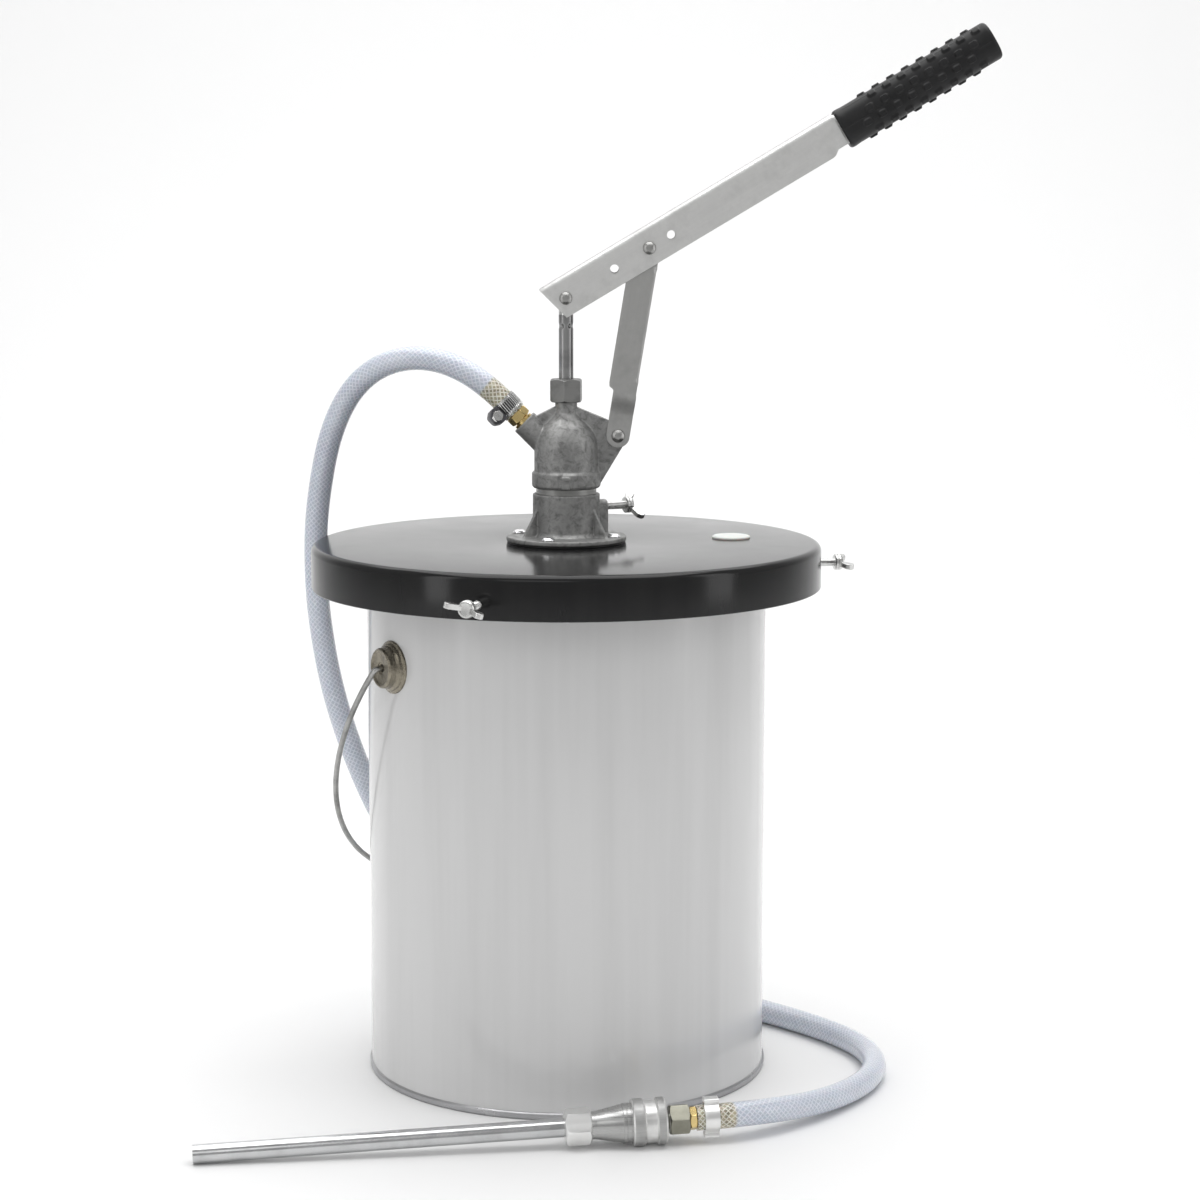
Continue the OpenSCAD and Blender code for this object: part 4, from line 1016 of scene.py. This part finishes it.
make_lever()
make_grip()
rivet_pin("rod_rivet", LEVER, LEVER_W / 2, "rod_pin", "lever")
rivet_pin("link_rivet", LEVER @ placed(LEVER_ARM), LEVER_W / 2, "link_pin", "lever")
make_link()
rivet_pin("head_rivet", placed(LUG_X, 0, LUG_Z), 6.6, "head_pin", ROOT, 5.0)


# ---- outlet ----

CLAMP_FROM, CLAMP_TO, CLAMP_R, BAND = 53.0, 64.5, 8.6, 0.8
HOUSING = OUTLET @ placed((CLAMP_FROM + CLAMP_TO) / 2, 0, 0, (20, "X")) @ placed(0, 0, CLAMP_R + BAND)
BARBS = 4


def hose_tail(name, spigot, hex_from, hex_to, end, at, node):
    """A turned hose tail: a spigot given as (radius, height) points, a hexagon and its barbs."""
    pitch = (end - hex_to) / BARBS
    outline = [(4, spigot[0][1]), *spigot, (5.4, hex_from + 0.5), (5.4, hex_to)]
    for z in [hex_to + i * pitch for i in range(BARBS)]:
        outline += [(5.6, z + 0.3), (6.4, z + 1), (5.6, z + pitch - 0.2)]
    outline += [(5.2, end), (4, end)]
    shape = joined(lathe(outline, 48), chamfered_hexagon(14, hex_from, hex_to, 0.9))
    return make(name, shape, BRASS, at, node=node, angle=30)


def make_clamp_band():
    """The worm-drive clamp's band: a thin ring whose middle carries slanted slots."""
    rows, around = 13, 34 * 6

    def layer(r, depth):
        points = []
        for i, z in enumerate(np.linspace(CLAMP_FROM, CLAMP_TO, rows)):
            for k in range(around):
                a = 2 * math.pi * (k + 0.25 * i) / around
                radius = r - depth if 2 <= i <= rows - 3 and k % 6 in (2, 3, 4) else r
                points.append((radius * math.cos(a), radius * math.sin(a), z))
        return points

    shape = double_wall(layer(CLAMP_R + BAND, 0.45), layer(CLAMP_R, 0.0), around)
    band = make("clamp_band_slotted", shape, ZINC, ON_OUTLET, node="hose_clamp_band", angle=30)
    band.data.materials.append(SLOT_DARK)
    for face in band.data.polygons:
        row, column = divmod(face.index, around)
        face.material_index = int(2 <= row < rows - 3 and column % 6 in (1, 2, 3))


def make_outlet():
    face = OUTLET_FACE + 0.1
    spigot = [(6.9, face - 8), (6.9, face), (7.3, face), (7.3, face + 1.5), (5.6, face + 1.7),
              (5.6, face + 2.8)]
    hose_tail("outlet_tail", spigot, face + 2.3, OUTLET_HOSE, 79, ON_OUTLET, "outlet_barb")
    make_clamp_band()
    bridge = fillet([(-6, -1.2), (6, -1.2), (6, 3.4), (3.4, 7.4, 3), (-3.4, 7.4, 3), (-6, 3.4)], 0.8, 4)
    housing = make("clamp_housing_bridge", prism(bridge, -6.5, 6.5), DARK_STEEL, HOUSING,
                   node="hose_clamp_housing")
    saddle = moved(rod(CLAMP_R + BAND + 0.02, -8, 8, 64), placed(0, 0, -CLAMP_R - BAND, (90, "Y")))
    cut(housing, saddle, cross_rod(3.1, 0, 4, 20))
    soften(housing, 0.35)
    screw = joined(threaded(2.95, -6.6, 6.8, 1.2, 0.5), chamfered_hexagon(7, 6.7, 10.9, 0.7))
    worm = make("clamp_worm_screw", screw, ZINC, HOUSING @ placed(0, 0, 4, (90, "X")),
                node="hose_clamp_screw", angle=30)
    cut(worm, prism([(-5, 9.6), (5, 9.6), (5, 12), (-5, 12)], -0.5, 0.5), angle=30)


make_outlet()


# ---- spout with its quick coupler ----

ON_SPOUT = SPOUT @ Z_TO_X
BODY_R, RING_R, RING_GRIP_R = 13.3, 15.8, 15.3
SPRING_FROM, SPRING_TO, SPRING_R, WIRE_R, COILS, SPRING_KEEP = 296.6, 302.4, 12.45, 0.4, 3, 0.33


def hexagon_on(name, flats, start, end, chamfer, turn, bore, material, node):
    """A bored hexagon on the spout's line."""
    shape = chamfered_hexagon(flats, start, end, chamfer, turn)
    piece = make(name, shape, material, ON_SPOUT, node=node, angle=25)
    return cut(piece, rod(bore, start - 5, end + 5, 64), angle=25)


def make_ear_clamp():
    """A two-ear pinch clamp: a band with a raised loop at the top and at the bottom."""
    thickness = 0.9
    mid = HOSE_R + 0.1 + thickness / 2
    loop = [(4.6, mid * 0.86), (3.0, mid + 0.3), (2.5, mid + 1.2), (3.6, mid + 2.4), (3.9, mid + 3.7),
            (3.0, mid + 4)]
    top = fillet([*[(-x, y) for x, y in loop], *reversed(loop)], 0.6, 3, closed=False)
    gap = math.degrees(math.atan2(4.6, mid * 0.86))
    right = [(mid * math.sin(a), mid * math.cos(a)) for a in np.radians(np.linspace(gap + 3, 177 - gap, 30))]
    half = [*top, *right]
    ring = half + [(-x, -y) for x, y in half]
    rows = [[(x, y, z) for x, y in ring] for z in np.linspace(339.5, 349.5, 5)]
    band = make("ear_clamp_band", sheet(rows, closed=True), NICKEL, ON_SPOUT @ turned(90, "Z"),
                node="ear_clamp")
    return thicken(band, thickness, 0.15)


def knurl(a, r, h, teeth=84, depth=0.28):
    """Crossed grooves on the release ring's two raised lands."""
    if r < 15.2 or not 291.5 < h < 312.9:
        return 0.0
    turn, slant = a * teeth / (2 * math.pi), h * 1.1
    return depth * (abs((turn + slant) % 1 - 0.5) + abs((turn - slant) % 1 - 0.5)) - depth


def make_release_ring():
    outline = [(13.4, 290.5), (14.9, 290.5), (RING_R, 291.6),
               *[(RING_R, z, 0) for z in np.linspace(292, 298, 22)],
               (15.7, 298.4), (14.25, 299.4), (14.25, 306.7), (15.7, 307.6),
               *[(RING_R, z, 0) for z in np.linspace(308, 312.4, 18)],
               (14.8, 313.5), (13.4, 313.5), (13.4, 311.5), (11.6, 311.5), (11.6, 303), (13.4, 303)]
    ring = make("coupler_release_ring", lathe(fillet(outline, 0.25), 336, knurl), SATIN_STEEL, ON_SPOUT,
                "coupler_ring", "coupler_sleeve", 30)
    ring.data.materials.append(KNURLED)
    for face in ring.data.polygons:
        face.material_index = int(math.hypot(face.center.x, face.center.y) > RING_GRIP_R * MM)
    return ring


def make_spring():
    """The release ring's coil spring."""
    angles = np.linspace(0, 2 * math.pi * COILS, 40 * COILS)
    path = [(x, SPRING_R * math.cos(a), SPRING_R * math.sin(a))
            for x, a in zip(np.linspace(SPRING_FROM, SPRING_TO, len(angles)), angles)]
    spring = make("coupler_return_spring", swept(path, WIRE_R, 8, (1, 0, 0)), TURNED, SPOUT,
                  node="coupler_spring")
    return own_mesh(spring)


def make_socket():
    """The coupler's body: a cone, two grooved lands, and six holes for the balls."""
    groove = BODY_R - 0.25
    outline = [(4, 252.1), (9, 252.1), (9, 263.3), (9.35, 263.3), (9.35, 266.5, 3), (12.9, 284.2),
               (BODY_R, 284.4)]
    for z in (286.2, 289.2):
        outline += [(BODY_R, z), (groove, z + 0.2), (groove, z + 0.7), (BODY_R, z + 0.9)]
    outline += [(BODY_R, 296), (11.5, 296), (11.5, 312.5), (8, 312.5), (8, 288.5), (4, 288.5)]
    socket = make("coupler_socket", lathe(fillet(outline, 0.12), 128), TURNED, ON_SPOUT,
                  node="coupler_body", angle=25)
    balls = [radial(rod(2, 5, 15, 24), 60 * k, 309) for k in range(6)]
    return cut(socket, rod(SPOUT_R - 0.3, 250, 262.6, 48), *balls, angle=25)


def make_coupler():
    nut = hexagon_on("spout_union_nut", 22, SPOUT_NUT, 263.1, 1.9, 30, SPOUT_R - 0.3, NICKEL, "spout_nut")
    cut(nut, rod(9.05, SPOUT_NUT + 6.4, 266), angle=25)
    nipple = fillet([(4, 292), (7.2, 292), (7.9, 293), (7.9, 306.8), (6.9, 306.8), (6.9, 311.2), (7.9, 311.2),
                     (7.9, 314), (6, 314), (6, 322), (4, 322)], 0.2)
    return [
        nut, make_socket(), make_release_ring(), make_spring(),
        make("coupler_plug_tail", lathe(nipple, 64), CHROME, ON_SPOUT, node="coupler_nipple"),
        hexagon_on("adaptor_hexagon", 19, 315.8, 329.4, 1.2, 15, 6.05, OLIVE, "hex_adaptor"),
        hose_tail("spout_tail", [(6, 322.5), (6, 330.1)], 329.6, SPOUT_HOSE, 359.5, ON_SPOUT, "spout_barb"),
        make_ear_clamp()]


on_hose = make_coupler() + [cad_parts[name] for name in ("spout_tube", "coupler_seal", "coupler_balls")]


# ---- floor and light ----


def make_stage():
    """A pale floor that curves up into a backdrop behind the object."""
    paint = Paint("pale_floor", (0.9, 0.9, 0.9), 0.6)
    paint.drive("Roughness", paint.span(paint.noise(3.0, 2.0), 0.55, 0.65))
    reach, back, bend, top = 7000.0, 2600.0, 1500.0, 7000.0
    profile = [(-reach, 0.0), *circle(bend, back - bend, bend, 18, -90, 90), (back, top)]
    stage = make("floor", sheet([[(x, y, z) for x in (-reach, reach)] for y, z in profile]), None)
    stage.data.materials.append(paint.material)


def make_light(name, location, target, size, power):
    data = bpy.data.lights.new(name, "AREA")
    data.shape, data.size, data.size_y, data.energy = "RECTANGLE", size[0], size[1], power
    light = bpy.data.objects.new(name, data)
    light.location = location
    light.rotation_euler = (Vector(target) - Vector(location)).to_track_quat("-Z", "Y").to_euler()
    bpy.context.scene.collection.objects.link(light)


def make_lights():
    world = bpy.data.worlds.new("studio")
    world.use_nodes = True
    sky = world.node_tree.nodes["Background"].inputs
    sky["Color"].default_value = (1, 1, 1, 1)
    sky["Strength"].default_value = 0.4
    bpy.context.scene.world = world
    bpy.context.scene.view_settings.view_transform = "Standard"
    centre = (0, 0, 0.3)
    make_light("top_softbox", (0, -0.1, 2.3), centre, (2.6, 1.8), 40)
    make_light("left_softbox", (-1.9, -1.3, 0.9), centre, (0.5, 1.9), 5.8)
    make_light("right_softbox", (2.1, -0.8, 0.9), centre, (0.6, 1.9), 5.8)
    make_light("front_softbox", (-0.6, -2.6, 1.7), centre, (1.6, 1.0), 5)
    make_light("backdrop_light", (0, 1.9, 3.0), (0, 1.9, 0), (4.5, 1.2), 35)


make_stage()
make_lights()
